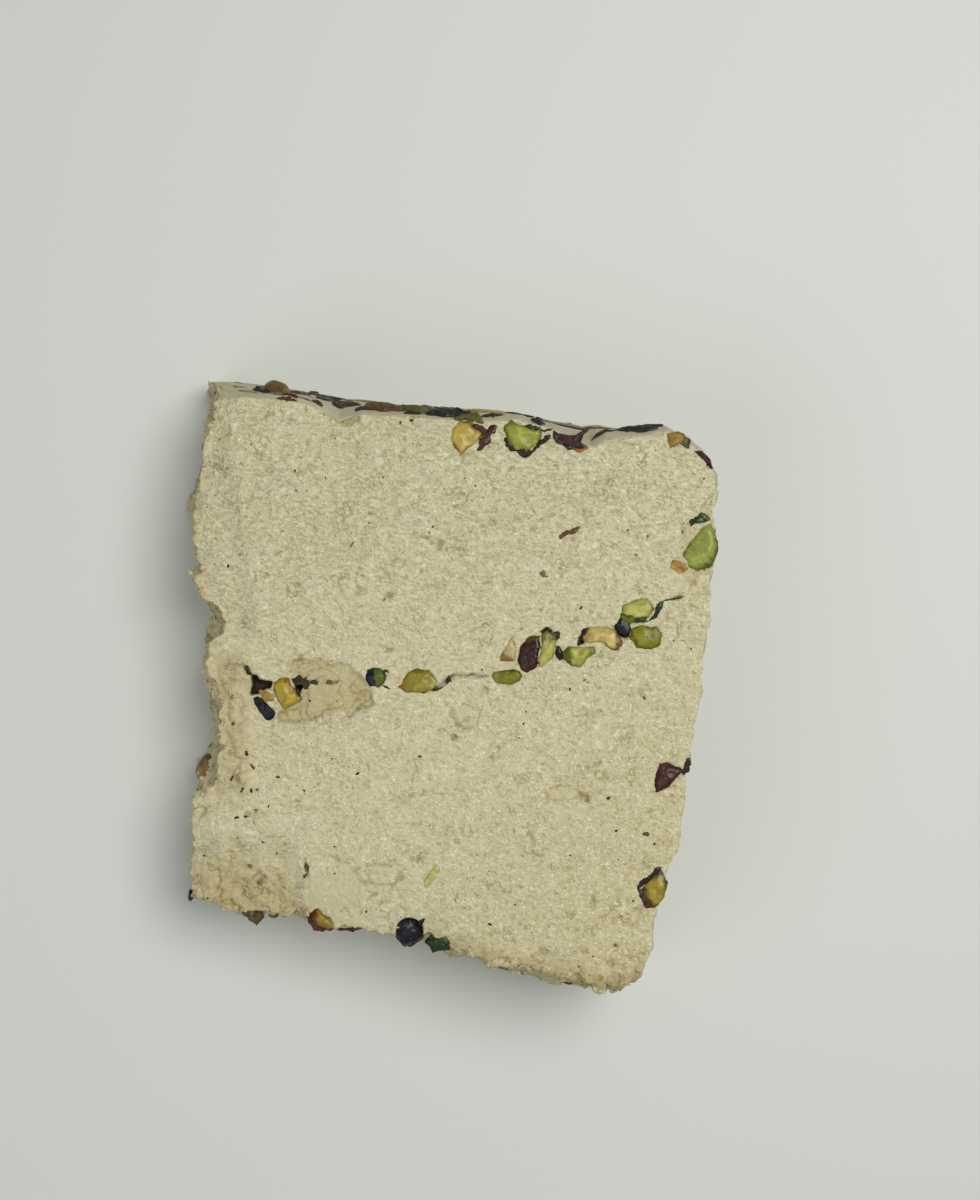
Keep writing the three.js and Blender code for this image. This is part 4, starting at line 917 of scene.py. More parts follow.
# Strips of pistachio skin: colour, half width, height over the knife's plane, then points along the strip.
STRIPS = [
    (NAVY, 0.45, 0.1, [(7.5, 48.6), (8.2, 49.5), (9.1, 50.1)]),
    (MAROON, 0.7, 0.25, [(4.6, 50.4), (6.5, 49.0), (7.6, 48.3), (9, 50)]),
    (MAROON, 0.6, 0.15, [(7.9, 48.9), (6.7, 47.2), (5.5, 45.4)]),
    (MAROON, 0.35, 0.1, [(7.2, 48.1), (8, 46.7)]),
    (OLIVE, 0.6, -0.2, [(1.1, 51.3), (3.2, 52.1), (5.2, 51.7), (7, 50.3), (8.1, 49.3)]),
    ((58, 46, 34), 0.7, 0.1, [(10.6, 47.8), (11.4, 46.5), (12.8, 45.3), (14.6, 44.8), (16.2, 45.2)]),
    ((58, 46, 34), 0.55, 0.15, [(15.7, 45.1), (16.8, 46.1), (17.7, 47.2), (19.3, 48.2)]),
    (NAVY, 0.35, 0.35, [(14.3, 49.9), (15.8, 49.75), (17.4, 49.5)]),
    (NAVY, 0.4, -0.1, [(15.9, 50.8), (16.7, 51.1), (17.8, 51.2)]),
    (UMBER, 0.35, 0.15, [(17.1, 49.2), (18.4, 49.1), (19.7, 49.4)]),
    (NAVY, 0.4, 0.3, [(19.9, 49), (20.5, 47.2), (22.2, 46), (24.3, 45.4)]),
    (MAROON, 0.5, 0.35, [(20.9, 48.5), (23, 47.2), (24.7, 48.2), (26.8, 49.6)]),
    ((168, 110, 52), 0.35, 0.3, [(23.6, 45.4), (25, 45.3), (26.4, 45.8)]),
    (BROWN, 0.4, 0.05, [(46, 44.9), (47.5, 44.3), (48.6, 43), (49.5, 41.6)]),
    ((52, 68, 32), 0.5, 0.15, [(45.1, 30.6), (45.6, 32), (47.1, 32.7), (48.4, 33.4)]),
    ((58, 50, 42), 0.5, 0.3, [(43.9, -15.6), (44.5, -14.4), (45, -12.3)]),
    ((58, 50, 42), 0.3, 0.2, [(43.2, -14.6), (44.4, -14.8)]),
    ((56, 44, 40), 0.5, 0.25, [(35.5, -37.1), (36.8, -35.7), (38.4, -34.3), (40.0, -32.9)]),
    ((56, 44, 40), 0.45, 0.2, [(35.6, -36.9), (36.2, -38.4), (37, -40.3)]),
    ((48, 60, 28), 0.42, 0.25, [(37.6, 13.1), (38.7, 14.1), (39.2, 15.5), (40.3, 17)]),
    ((60, 58, 34), 0.2, 0.15, [(40.3, 17), (42.2, 17.4), (43.9, 17.6)]),
    ((78, 72, 30), 0.22, 0.05, [(-5.2, -0.7), (-3, -0.2), (-1.3, 0.4), (-0.3, 1.2)]),
    ((52, 46, 26), 0.32, 0.1, [(-0.4, 1.1), (0.1, 2), (0, 2.8)]),
    ((44, 52, 30), 0.18, 0.0, [(-12.9, 0.9), (-11.6, 0.3), (-10.3, 0.2)]),
    ((52, 66, 34), 0.3, 0.2, [(-12.7, 3), (-12, 3.5), (-11.4, 3.1)]),
    ((46, 52, 30), 0.35, 0.3, [(17.2, 10.7), (18.5, 11.9), (19.7, 11.1)]),
    ((52, 58, 30), 0.3, 0.25, [(19.7, 11), (20.8, 10.8), (20.5, 9.6)]),
    ((70, 66, 38), 0.4, 0.0, [(-39.8, 5.5), (-39, 4.5), (-38.2, 3.0)]),
    ((70, 44, 42), 0.35, -0.5, [(-22.4, -45.9), (-19.8, -46.1), (-16.9, -45.9)]),
    ((84, 50, 40), 0.25, -0.3, [(-16.9, -45.9), (-16.4, -45.2), (-16.3, -44.2)]),
    ((96, 46, 30), 0.6, -0.3, [(-27.2, -44.0), (-26.6, -45), (-25.1, -45.8), (-22.2, -46)]),
    ((36, 40, 30), 0.55, 0.1, [(-5.8, -44.9), (-5.1, -44.2), (-4.5, -43.6)]),
    ((50, 56, 22), 0.3, 0.45, [(32.8, 14.5), (34.6, 13.8), (36.1, 13.2), (37.6, 13.1)]),
    ((66, 60, 36), 0.75, 0.5, [(-30.2, 2.0), (-28.4, 1.2), (-26.0, 1.4)]),
    ((72, 64, 38), 0.5, 0.5, [(-26.6, 1.3), (-25.2, 1.6), (-24.0, 2.1)]),
    ((112, 104, 62), 0.45, 0.5, [(-24.4, 1.9), (-23.4, 1.5), (-22.1, 1.6)]),
    ((52, 34, 20), 0.5, 0.2, [(-29.3, 0.4), (-28.8, -0.6), (-28.3, -1.5)]),
    ((176, 146, 70), 0.95, 0.2, [(-36.6, -0.3), (-35.6, -0.9), (-33.7, -2.3)]),
    ((108, 82, 50), 0.3, 0.05, [(-27.4, -33.2), (-27.1, -34.2), (-26.9, -35.1)]),
    ((108, 82, 50), 0.3, -0.15, [(-27.2, -35.3), (-27.7, -36.3), (-28.6, -37.2)]),
    ((46, 40, 30), 0.5, 0.15, [(24.4, 8.4), (24.9, 10.1), (26.3, 11.8)]),
    ((40, 36, 30), 0.55, 0.1, [(20.7, 8.5), (20.7, 7.2), (21, 5.7)]),
    ((34, 38, 28), 0.9, 0.2, [(31.3, 12.3), (32.7, 12.1), (33.9, 10.7)]),
    ((104, 84, 50), 0.6, 0.1, [(20.9, 28.8), (22.2, 29.5), (23.5, 29.9), (24.8, 31.0)]),
    ((132, 112, 78), 0.5, 0.05, [(17.2, 22.3), (17.8, 21.9), (18.4, 22)]),
    ((98, 80, 44), 0.5, 0.05, [(36.4, -26.8), (37.1, -26.7), (37.8, -27)]),
    ((104, 80, 42), 0.5, 0.0, [(0, -45.8), (0.6, -46.1), (1.2, -46.5)]),
    ((92, 62, 42), 0.5, -0.3, [(-33.4, 55.5), (-31.5, 55.6), (-29.2, 55.3)]),
    ((84, 58, 40), 0.4, -1.5, [(-32.3, 56.7), (-31, 56.8), (-29.0, 56.2)]),
    (SLIVER, 0.85, 0.05, [(-4.5, -37.5), (-3.3, -35.7), (-2.0, -33.4)]),
    ((150, 128, 76), 0.3, 0.03, [(-18.8, 27.3), (-18.0, 28.3)]),
    ((104, 84, 48), 0.22, 0.05, [(-41.8, -6.0), (-41.5, -7.3), (-41.0, -8.0)]),
    ((88, 62, 40), 0.25, 0.05, [(29.6, -20.2), (30.6, -19.9)]),
]
# Flakes pressed into the back: colour, x, share of the height, half length, half height, turn and lift.
BACK_FLAKES = [
    (NAVY, -36.0, 0.8, 1.7, 2.6, -20, 0.9), (UMBER, -25.2, 0.9, 1.1, 0.9, 0, 0.4),
    (NAVY, -23.3, 0.58, 2.9, 2.6, -4, 0.7), (UMBER, -19.8, 0.7, 2.7, 2.4, -4, 0.7),
    (UMBER, -15.0, 0.9, 2.9, 1.2, 0, 0.6), (BROWN, -12.2, 0.9, 3.2, 2.4, -8, 1.2),
    (OLIVE, -5.8, 0.89, 3.7, 2.2, 5, 1.0), (NAVY, -7.0, 0.96, 1.6, 0.8, -8, 0.6),
    (NAVY, 0.8, 0.91, 4.8, 2.8, 3, 1.3), (NAVY, 8.3, 0.92, 1.8, 1.0, -4, 0.5),
    (NAVY, 16.9, 0.955, 1.3, 1.2, 0, 0.6), (UMBER, 29.0, 0.92, 1.9, 0.7, 4, 0.5),
    (NAVY, 36.2, 0.925, 4.4, 1.7, 2, 0.9), (UMBER, 16.5, 0.6, 3.1, 1.5, 20, 0.4),
    (MAROON, -28.5, 0.5, 2.5, 1.4, -30, 0.4), (MAROON, -9, 0.42, 3.0, 1.5, 12, 0.4),
    (BROWN, 29, 0.4, 2.7, 1.4, -15, 0.4), (NAVY, 14, 0.17, 3.0, 1.5, 8, 0.4),
    (OLIVE, -35, 0.3, 2.5, 1.3, 40, 0.4), (MAROON, 40, 0.58, 2.2, 1.3, -50, 0.4),
    (UMBER, 3, 0.6, 2.4, 1.6, -35, 0.4),
]
# How far flakes and chips lie from a side along its outward ways.
BACK_OUT, RIM_OUT, UP = np.array([0, 0.96, 0.28]), np.array([1, 0, 0.06]), np.array([0, 0, 1.0])


def flakes(name, on_rim_side, middles, heights, halves, turns, lifts, rings, around, tones, mottled):
    """A piece of thin flakes on the back, or on the rim's side where told: closed meshes of rings round a
    middle.

    A ring's share of the size times a ragged factor, a noise of its angle, gives places on the side, which
    are pushed out by the lift. The rim stands out a little more or less, and the last ring lies below it."""
    count = len(middles)
    a = 2 * np.pi * np.arange(around) / around
    ring_x, ring_y = np.cos(a), np.sin(a)
    own = 17.3 * np.arange(count)[:, None]
    ragged = 1 + 0.34 * noise(1.3 * ring_x + own, 1.3 * ring_y, 0.5)
    ragged += 0.3 * noise(3.1 * ring_x + own, 3.1 * ring_y, 2.5)
    ragged += 0.16 * noise(9 * ring_x, 9 * ring_y + own, 4.5)
    reach = np.concatenate([np.sqrt((np.arange(rings) + 0.5) / rings), [1.0, 0.97]])
    r = reach[None, :, None] * ragged[:, None]
    half_p, half_q, turns, lifts, middles, heights = [
        numbers[:, None, None] for numbers in (*halves.T, turns, lifts, middles, heights)]
    p, q = half_p * r * ring_x, half_q * r * ring_y
    c, s = np.cos(turns), np.sin(turns)
    along_side = middles + p * c - q * s
    w = np.clip(heights + (p * s + q * c) / RIM_THICKNESS, 0.02, 0.995)
    curled = (reach**3)[:, None] * noise(2 * ring_x, 2 * ring_y + own[..., None], 7.5)
    domed = (1 - 0.75 * reach**2.5)[:, None] + 0.4 * noise(p / 1.1, q / 1.1, own[..., None])
    off = lifts * (domed + 0.4 * curled)
    off[:, -1] = -0.35
    on_rim_side = on_rim_side[:, None, None] & np.ones(w.shape, bool)
    u = np.where(on_rim_side, 1.0, share(BACK, along_side))
    v = np.where(on_rim_side, share(RIM, along_side), 1.0)
    outward = np.where(on_rim_side[..., None], RIM_OUT, BACK_OUT)
    at = wedge(np.clip(u, 0, 1), np.clip(v, 0, 1), w)[0] + off[..., None] * outward
    points = np.concatenate([at.reshape(count, -1, 3), at[:, [0, -1]].mean(2)], 1)
    tones = tones[:, None] * (1 + mottled * layers(*np.moveaxis(points, -1, 0), 2.5, 3))[..., None]
    return ringed_pieces(name, points, rings + 2, around, tones)


def back_flakes_piece():
    """The large flakes of skin that lie in the back, most of them along its upper edge."""
    x, height, half_length, half_height, turn, lift = np.array([flake[1:] for flake in BACK_FLAKES], float).T
    tones = np.array([flesh(flake[0]) for flake in BACK_FLAKES])
    halves = np.stack([half_length, half_height], -1)
    return flakes("back_flakes", np.zeros(len(x), bool), x, height, halves, np.radians(turn), lift, 9, 56,
                  tones, 0.35)


def strip(path, half, thick, bumps, lobed):
    """Points of a strip of skin: an ellipse carried along a path, thin at both ends and lobed."""
    path = resample(path, STRIP_ROWS, False)
    t = np.linspace(0, 1, STRIP_ROWS)
    ahead = np.gradient(path, axis=0)
    ahead /= np.linalg.norm(ahead, axis=1)[:, None] + 1e-9
    aside = np.cross(UP, ahead)
    aside /= np.linalg.norm(aside, axis=1)[:, None] + 1e-9
    a = 2 * np.pi * np.arange(STRIP_AROUND) / STRIP_AROUND
    x, y, z = path.T[..., None]
    flank = np.sign(np.cos(a))[None]
    taper = np.sqrt(np.clip(1 - (2 * t[:, None] - 1) ** 2, 0.02, 1))
    taper = taper * (1 + 0.35 * noise(x * 1.3 + bumps, y * 1.3, z))
    lobes = noise(x / 1.1 + z / 1.3, bumps + flank, 1.0) + 0.8 * noise(x / 0.42, y / 0.42, bumps + 4 * flank)
    wide = half * taper * (1 + lobed * lobes) * np.cos(a)
    rings = path[:, None] + aside[:, None] * wide[..., None] + UP * (thick * taper * np.sin(a))[..., None]
    return rows_of([rings, path[[0, -1]]])


def skins_piece():
    """All the strips of skin, lying on the knife's plane."""
    points = []
    for number, (colour, half, lift, path) in enumerate(STRIPS):
        places = resample(path, 8, False)
        z = face_height(*places.T) + lift + 0.12 * noise(places[:, 0], places[:, 1], number)
        lobed = 0.1 if colour == SLIVER else 0.55
        points.append(strip(np.column_stack([places, z]), half, 0.14 + 0.1 * half, number, lobed))
    tones = np.array([[flesh(colour)] for colour, *_ in STRIPS])
    return ringed_pieces("pistachio_skins", np.array(points), STRIP_ROWS, STRIP_AROUND, tones)


def icosahedron():
    """Corners and triangles of an icosahedron with its corners one from the middle."""
    g = (1 + 5**0.5) / 2
    corners = np.array([(-1, g, 0), (1, g, 0), (-1, -g, 0), (1, -g, 0), (0, -1, g), (0, 1, g), (0, -1, -g),
                        (0, 1, -g), (g, 0, -1), (g, 0, 1), (-g, 0, -1), (-g, 0, 1)])
    faces = [(0, 11, 5), (0, 5, 1), (0, 1, 7), (0, 7, 10), (0, 10, 11), (1, 5, 9), (5, 11, 4), (11, 10, 2),
             (10, 7, 6), (7, 1, 8), (3, 9, 4), (3, 4, 2), (3, 2, 6), (3, 6, 8), (3, 8, 9), (4, 9, 5),
             (2, 4, 11), (6, 2, 10), (8, 6, 7), (9, 8, 1)]
    return corners / np.hypot(1, g), np.array(faces)


def finer(shape):
    """A ball with each of its triangles split into four."""
    corners, faces = shape
    edges = np.sort(np.concatenate([faces[:, [0, 1]], faces[:, [1, 2]], faces[:, [2, 0]]]), axis=1)
    edges, which = np.unique(edges, axis=0, return_inverse=True)
    halves = corners[edges].mean(1)
    halves /= np.linalg.norm(halves, axis=1)[:, None]
    ab, bc, ca = which.reshape(3, -1) + len(corners)
    a, b, c = faces.T
    threes = (a, ab, ca), (b, bc, ab), (c, ca, bc), (ab, bc, ca)
    return np.concatenate([corners, halves]), np.concatenate([np.stack(three, -1) for three in threes])


OCTAHEDRON = (np.array([(1, 0, 0), (-1, 0, 0), (0, 1, 0), (0, -1, 0), (0, 0, 1), (0, 0, -1)], float),
              np.array([(0, 2, 4), (2, 1, 4), (1, 3, 4), (3, 0, 4),
                        (2, 0, 5), (1, 2, 5), (3, 1, 5), (0, 3, 5)]))
SPECK_BALL, CRUMB_BALL = icosahedron(), finer(OCTAHEDRON)
CHIP_BALL = finer(SPECK_BALL)
KNOB_BALL = finer(CHIP_BALL)


def scattered(name, at, sizes, angles, shape, uneven, colours, seed):
    """One piece of many small uneven balls: each ball's corners are stretched, turned and moved as arrays."""
    corners, faces = shape
    count, each = len(at), len(corners)
    x, y, z = corners.T
    bumps = noise(x * 1.7 + 13.7 * np.arange(count)[:, None], y * 1.7, z * 1.7 + seed)
    balls = corners * (1 + uneven * bumps)[..., None] * sizes[:, None]
    points = np.einsum("nij,nkj->nki", spins(angles), balls) + at[:, None]
    colours = np.repeat(colours, each, axis=0)
    return make_piece(name, [points], np.zeros((0, 4), int), copies(faces, count, each), [colours])


def shreds(name, at, outward, ahead, sizes, bends, colours):
    """Short bent fibres of halva: ovals along an arc, and a point at each end. sizes are half length, half
    width and half thickness. outward is the way the thickness lies."""
    t = np.array([-0.9, -0.5, 0, 0.5, 0.9])[:, None]
    taper = np.array([0.6, 0.95, 1, 0.9, 0.5])[:, None]
    a = 2 * np.pi * np.arange(SHRED_SIDES) / SHRED_SIDES
    ahead = ahead - (ahead * outward).sum(-1, keepdims=True) * outward
    ahead /= np.linalg.norm(ahead, axis=-1, keepdims=True)
    ways = ahead, np.cross(outward, ahead), outward
    length, width, thick, bend = [numbers[:, None, None] for numbers in (*sizes.T, bends)]

    def places(*offsets):
        moved = [way[:, None, None] * offset[..., None] for way, offset in zip(ways, offsets)]
        return (at[:, None, None] + sum(moved)).reshape(len(at), -1, 3)

    body = places(length * t * np.ones(SHRED_SIDES), bend * t**2 + width * taper * np.cos(a),
                  thick * taper * np.sin(a))
    tips = np.array([[-1.1], [1.1]])
    points = np.concatenate([body, places(length * tips, bend + 0 * tips, 0 * length * tips)], 1)
    return ringed_pieces(name, points, SHRED_SIDES, SHRED_SIDES, colours[:, None])


def torn_side_places(draw, count, top):
    """Random places on the torn sides up to a share of the height: points, masks, the way each faces."""
    u, v, w = draw.random(count), draw.random(count), top - (top - 0.03) * draw.random(count) ** 1.15
    tip_side = draw.random(count) < 0.52
    u[tip_side], v[~tip_side] = 0.0, 0.0
    at, masks = wedge(u, v, w)
    outward = np.where(tip_side[:, None], [-1.0, 0, 0.15], [0, -1.0, 0.15])
    return at, masks, outward / np.linalg.norm(outward, axis=1)[:, None], tip_side


def clear_of_kernels(at, gap):
    """Which places are further than the gap from every sliced kernel."""
    return np.all([outside(at[:, 0], at[:, 1], outline) > gap for outline in SLICES.values()], axis=0)


def crumbs_and_shreds(draw):
    """Crumbs on what is torn, and fibres lying in the cut face and on the torn sides."""
    made = []
    # crumbs on the torn sides, then on the torn parts of the cut face
    sides, side_masks, _, _ = torn_side_places(draw, SIDE_CRUMBS, 1.0)
    face, face_masks = wedge(draw.random(FACE_CRUMBS), draw.random(FACE_CRUMBS), np.ones(FACE_CRUMBS))
    torn = draw.random(FACE_CRUMBS) < 0.22 * face_masks[:, 0] ** 1.5 * (face_masks[:, 1] < 0.5)
    at, masks = np.concatenate([sides, face[torn]]), np.concatenate([side_masks, face_masks[torn]])
    size = 0.2 + 0.7 * draw.random(len(at)) ** 3.2
    at[len(sides):, 2] -= 0.35 * size[len(sides):]
    sizes = size[:, None] * (0.65 + 0.6 * draw.random((len(at), 3)))
    angles = TURN * draw.random((len(at), 3))
    at[:, 2] = np.maximum(at[:, 2], 1.3 * sizes.max(1))
    large = size > 0.42
    for name, pick, shape in (("halva_crumbs", large, CRUMB_BALL), ("halva_fine_crumbs", ~large, SPECK_BALL)):
        made.append(scattered(name, at[pick], sizes[pick], angles[pick], shape, 0.35, masks[pick], 3.0))
    # knobs along the torn edges: most in the fringe of the front, the others round the torn corner
    u, v = 0.52 + 0.46 * draw.random(KNOBS), np.zeros(KNOBS)
    u[KNOBS_IN_FRONT:KNOBS_BEFORE_TIP] = 0.02 + 0.24 * draw.random(KNOBS_BEFORE_TIP - KNOBS_IN_FRONT)
    v[KNOBS_BEFORE_TIP:], u[KNOBS_BEFORE_TIP:] = 0.02 + 0.3 * draw.random(KNOBS - KNOBS_BEFORE_TIP), 0
    at, masks = wedge(u, v, 1 - 0.3 * draw.random(KNOBS) ** 2)
    clear = clear_of_kernels(at, 0.9) & (np.hypot(at[:, 0] - BLACK_AT[0], at[:, 1] - BLACK_AT[1]) > 4)
    at, masks, v = at[clear], masks[clear], v[clear]
    count = len(at)
    size = 0.65 + 0.95 * draw.random(count) ** 1.5
    at[:, 2] -= 0.75 * size
    at[:, 1] += np.where(v == 0, 0.6 * size, 0)
    at[:, 0] += np.where(v == 0, 0, 0.6 * size)
    sizes = size[:, None] * (0.75 + 0.5 * draw.random((count, 3)))
    angles = TURN * draw.random((count, 3))
    made.append(scattered("halva_knobs", at, sizes, angles, KNOB_BALL, 0.4, masks * [0.6, 0, 0.4, 0], 8.0))
    # fibres on the torn sides
    n = SIDE_SHREDS
    at, masks, outward, tip_side = torn_side_places(draw, n, 0.95)
    level = np.where(tip_side[:, None], [0, 1.0, 0], [1.0, 0, 0])
    ahead = level + draw.normal(0, 0.45, (n, 3))
    length, width = 0.35 + 0.75 * draw.random(n) ** 1.7, 0.2 + 0.2 * draw.random(n)
    sizes = np.stack([length, width, 0.13 + 0.12 * draw.random(n)], -1)
    at[:, 2] = np.maximum(at[:, 2], 1.6)
    outward = outward + draw.normal(0, 0.16, (n, 3))
    outward /= np.linalg.norm(outward, axis=1)[:, None]
    bends, paler = draw.normal(0, 0.25, n), [0.5, 0.2, 0.6, 0]
    made.append(shreds("halva_side_fibres", at - 0.06 * outward, outward, ahead, sizes, bends, masks * paler))
    # fibres in the cut face, only a little proud of it, more of them where it is torn
    at, masks = wedge(draw.random(FACE_SHREDS), draw.random(FACE_SHREDS), np.ones(FACE_SHREDS))
    keep = (draw.random(FACE_SHREDS) < 0.3 * masks[:, 0]) & (masks[:, 1] < 0.2) & (masks[:, 3] < 0.3)
    keep &= clear_of_kernels(at, 0.3)
    at, masks = at[keep], masks[keep]
    n = len(at)
    turn = 0.5 * noise(at[:, 0] / 14, at[:, 1] / 14, 4.0) + draw.normal(0, 0.6, n)
    length, width = 0.35 + 0.6 * draw.random(n) ** 1.5, 0.13 + 0.1 * draw.random(n)
    sizes = np.stack([length, width, 0.07 + 0.05 * masks[:, 0]], -1)
    outward = np.concatenate([draw.normal(0, 0.12, (n, 2)), np.ones((n, 1))], 1)
    outward /= np.linalg.norm(outward, axis=1)[:, None]
    ahead = np.stack([np.cos(turn), np.sin(turn), np.zeros(n)], -1)
    made.append(shreds("halva_fibres", at, outward, ahead, sizes, draw.normal(0, 0.25, n), masks * paler))
    return made


# Dark slits in the torn margin, flat ovals of painted shade: x, y, half length, turn in degrees.
SLITS = [
    (-38.8, -12.4, 0.45, -60), (-37.7, -15.0, 0.6, -45), (-32.9, -16.9, 0.35, -10), (-41.9, -17.3, 0.5, 80),
    (-36.8, -19.3, 0.55, 60), (-38.1, -19.4, 0.35, -70), (-39.7, -19.3, 0.45, 50), (-37.3, -23.4, 0.5, 55),
    (-40.8, -24.7, 0.4, 5), (-39.2, -24.7, 0.45, 0), (-40.8, -28.9, 0.3, 40), (-27.6, -34.6, 0.55, 80),
    (-27.8, -35.9, 0.45, 110), (-17.4, -16.0, 0.4, 35), (-39.0, -34.2, 0.4, 20), (-35.8, -29.4, 0.3, 0),
    (-42.6, 23.6, 0.3, 80), (-41.9, -6.9, 0.5, -55), (-26.6, -2.2, 0.25, 60), (7.9, -44.3, 0.4, -30),
    (0.3, 1.9, 0.5, -70), (31.5, -47.9, 0.4, 75), (-37.2, -37.8, 0.5, 10),
]


def specks_piece(draw):
    """Dark specks of skin on the cut face, the larger ones in their places and the least ones anywhere, and
    the slits, flat ovals of painted shade, in their places."""
    named, slits = np.array(SPECKS, float), np.array(SLITS, float)
    more = wedge(draw.random(LEAST_SPECKS), draw.random(LEAST_SPECKS), np.ones(LEAST_SPECKS))[0][:, :2]
    places = np.concatenate([named, more, slits[:, :2]])
    n = len(named) + len(more)
    sizes = np.concatenate([0.13 + 0.14 * draw.random(len(named)), 0.06 + 0.06 * draw.random(len(more))])
    z = face_height(*places.T) + face_relief(*places.T)[0]
    stretch = np.stack([1 + 0.6 * draw.random(n), 0.8 + 0.3 * draw.random(n), 0.6 * np.ones(n)], -1)
    tones = np.array([flesh((78, 58, 30)), flesh((112, 88, 50)), flesh((62, 48, 26))])[draw.integers(0, 3, n)]
    # the slits take one deep brown: painted shade
    tones = np.concatenate([tones, np.tile(flesh((74, 54, 28)), (len(slits), 1))])
    slit_sizes = np.stack([1.35 * slits[:, 2], 0.15 + 0.28 * slits[:, 2], np.full(len(slits), 0.16)], -1)
    sizes = np.concatenate([sizes[:, None] * stretch, slit_sizes])
    turns = np.concatenate([TURN * draw.random(n), np.radians(slits[:, 3])])
    angles = np.stack([0 * turns, 0 * turns, turns], -1)
    return scattered("specks_and_slit_shade", np.column_stack([places, z]), sizes, angles, SPECK_BALL, 0.6, tones, 2.0)


def chip_tones(draw, count):
    colours = NAVY, MAROON, BROWN, OLIVE, (140, 136, 62), (118, 120, 46), (160, 132, 66)
    return np.array([flesh(colour) for colour in colours])[draw.integers(0, len(colours), count)]


def pressed_flakes(draw):
    """Small flat chips of pistachio pressed into the moulded back and rim."""
    count = BACK_SMALL_FLAKES + RIM_FLAKES
    rim_side = np.arange(count) >= BACK_SMALL_FLAKES
    middles = np.where(rim_side, -50 + 92 * draw.random(count), -43 + 86 * draw.random(count))
    size = 0.45 + 1.3 * draw.random(count) ** 1.7
    halves = size[:, None] * np.stack([np.ones(count), 0.5 + 0.4 * draw.random(count)], -1)
    heights, turns = 0.05 + 0.86 * draw.random(count), HALF_TURN * draw.random(count)
    lifts = 0.1 + 0.1 * draw.random(count)
    tones = chip_tones(draw, count)
    return flakes("pressed_flakes", rim_side, middles, heights, halves, turns, lifts, 2, 16, tones, 0.0)


def pressed_chips(draw):
    """Chips of pistachio, small and uneven, in the torn sides, and flat in the resting face."""
    side = np.repeat([0, 1, 2], [22, 26, 30])  # front, tip, resting face
    count = len(side)
    u, v, w = draw.random(count), draw.random(count), 0.04 + 0.7 * draw.random(count)
    v[side == 0], u[side == 1], w[side == 2] = 0.0, 0.0, 0.0
    at, _ = wedge(u, v, w)
    size = 0.5 + 1.3 * draw.random(count) ** 1.6
    width = 0.5 + 0.45 * draw.random(count)
    sizes = size[:, None] * np.stack([np.ones(count), width, np.full(count, 0.45)], -1)
    sizes[side == 2, 2] = 0.12
    upright, facing_tip = side != 2, side == 1
    turns = HALF_TURN * draw.random(count) * upright
    angles = np.stack([QUARTER_TURN * upright, turns, QUARTER_TURN * facing_tip], -1)
    at[:, 2] = np.where(side == 2, FOOT_HOLLOW, np.maximum(at[:, 2], 1.3 * sizes[:, 0]))
    return scattered("pressed_chips", at, sizes, angles, CHIP_BALL, 0.28, chip_tones(draw, count), 9.0)


# ---------------------------------------------------------------- materials


class Field:
    """A value or colour that changes over a surface: a shader node's output. Its sums, products and so on
    are outputs of further nodes."""

    def __init__(self, tree, socket):
        self.tree, self.socket = tree, socket

    def math(self, operation, *others):
        return put(self.tree, "ShaderNodeMath", dict(enumerate((self, *others))), operation=operation)

    def __add__(self, other):
        return self.math("ADD", other)

    def __sub__(self, other):
        return self.math("SUBTRACT", other)

    def __mul__(self, other):
        return self.math("MULTIPLY", other)

    def __truediv__(self, other):
        return self.math("DIVIDE", other)

    def spread(self, low, high, to_low=0.0, to_high=1.0):
        """Goes from to_low to to_high while this goes from low to high."""
        return put(self.tree, "ShaderNodeMapRange", {"Value": self, "From Min": low, "From Max": high,
                                                     "To Min": to_low, "To Max": to_high})


def feed(tree, node, inputs):
    """Sets a node's inputs, by name or number, to values, or links them to fields."""
    for key, value in inputs.items():
        if isinstance(value, Field):
            tree.links.new(value.socket, node.inputs[key])
        else:
            node.inputs[key].default_value = value


def put(tree, kind, inputs, *outputs, **settings):
    """A new shader node's first output as a field, or those named or numbered. settings are properties of
    the node."""
    node = tree.nodes.new(kind)
    for key, value in settings.items():
        setattr(node, key, value)
    feed(tree, node, inputs)
    found = [Field(tree, node.outputs[key]) for key in outputs or (0,)]
    return found if len(found) > 1 else found[0]


def blend(tree, share, a, b, kind="MIX"):
    """A mixed colour. Its sockets are numbered, because the mix node repeats their names."""
    return put(tree, "ShaderNodeMix", {0: share, 6: a, 7: b}, 2, data_type="RGBA", blend_type=kind)


def clouded(tree, at, scale, detail, distortion=0.0):
    inputs = {"Vector": at, "Scale": scale, "Detail": detail, "Distortion": distortion}
    return put(tree, "ShaderNodeTexNoise", inputs, "Fac")


def new_group(name, inputs, outputs):
    """An empty group of nodes: the group, its Vector and other named inputs as fields, and the node that
    its results go to."""
    group = bpy.data.node_groups.new(name, "ShaderNodeTree")
    group.interface.new_socket(name="Vector", in_out="INPUT", socket_type="NodeSocketVector")
    for label, value in inputs.items():
        socket = group.interface.new_socket(name=label, in_out="INPUT", socket_type="NodeSocketFloat")
        socket.default_value = value
    for label in outputs:
        group.interface.new_socket(name=label, in_out="OUTPUT", socket_type="NodeSocketFloat")
    given, out = group.nodes.new("NodeGroupInput").outputs, group.nodes.new("NodeGroupOutput")
    return group, [Field(group, given[label]) for label in ("Vector", *inputs)], out


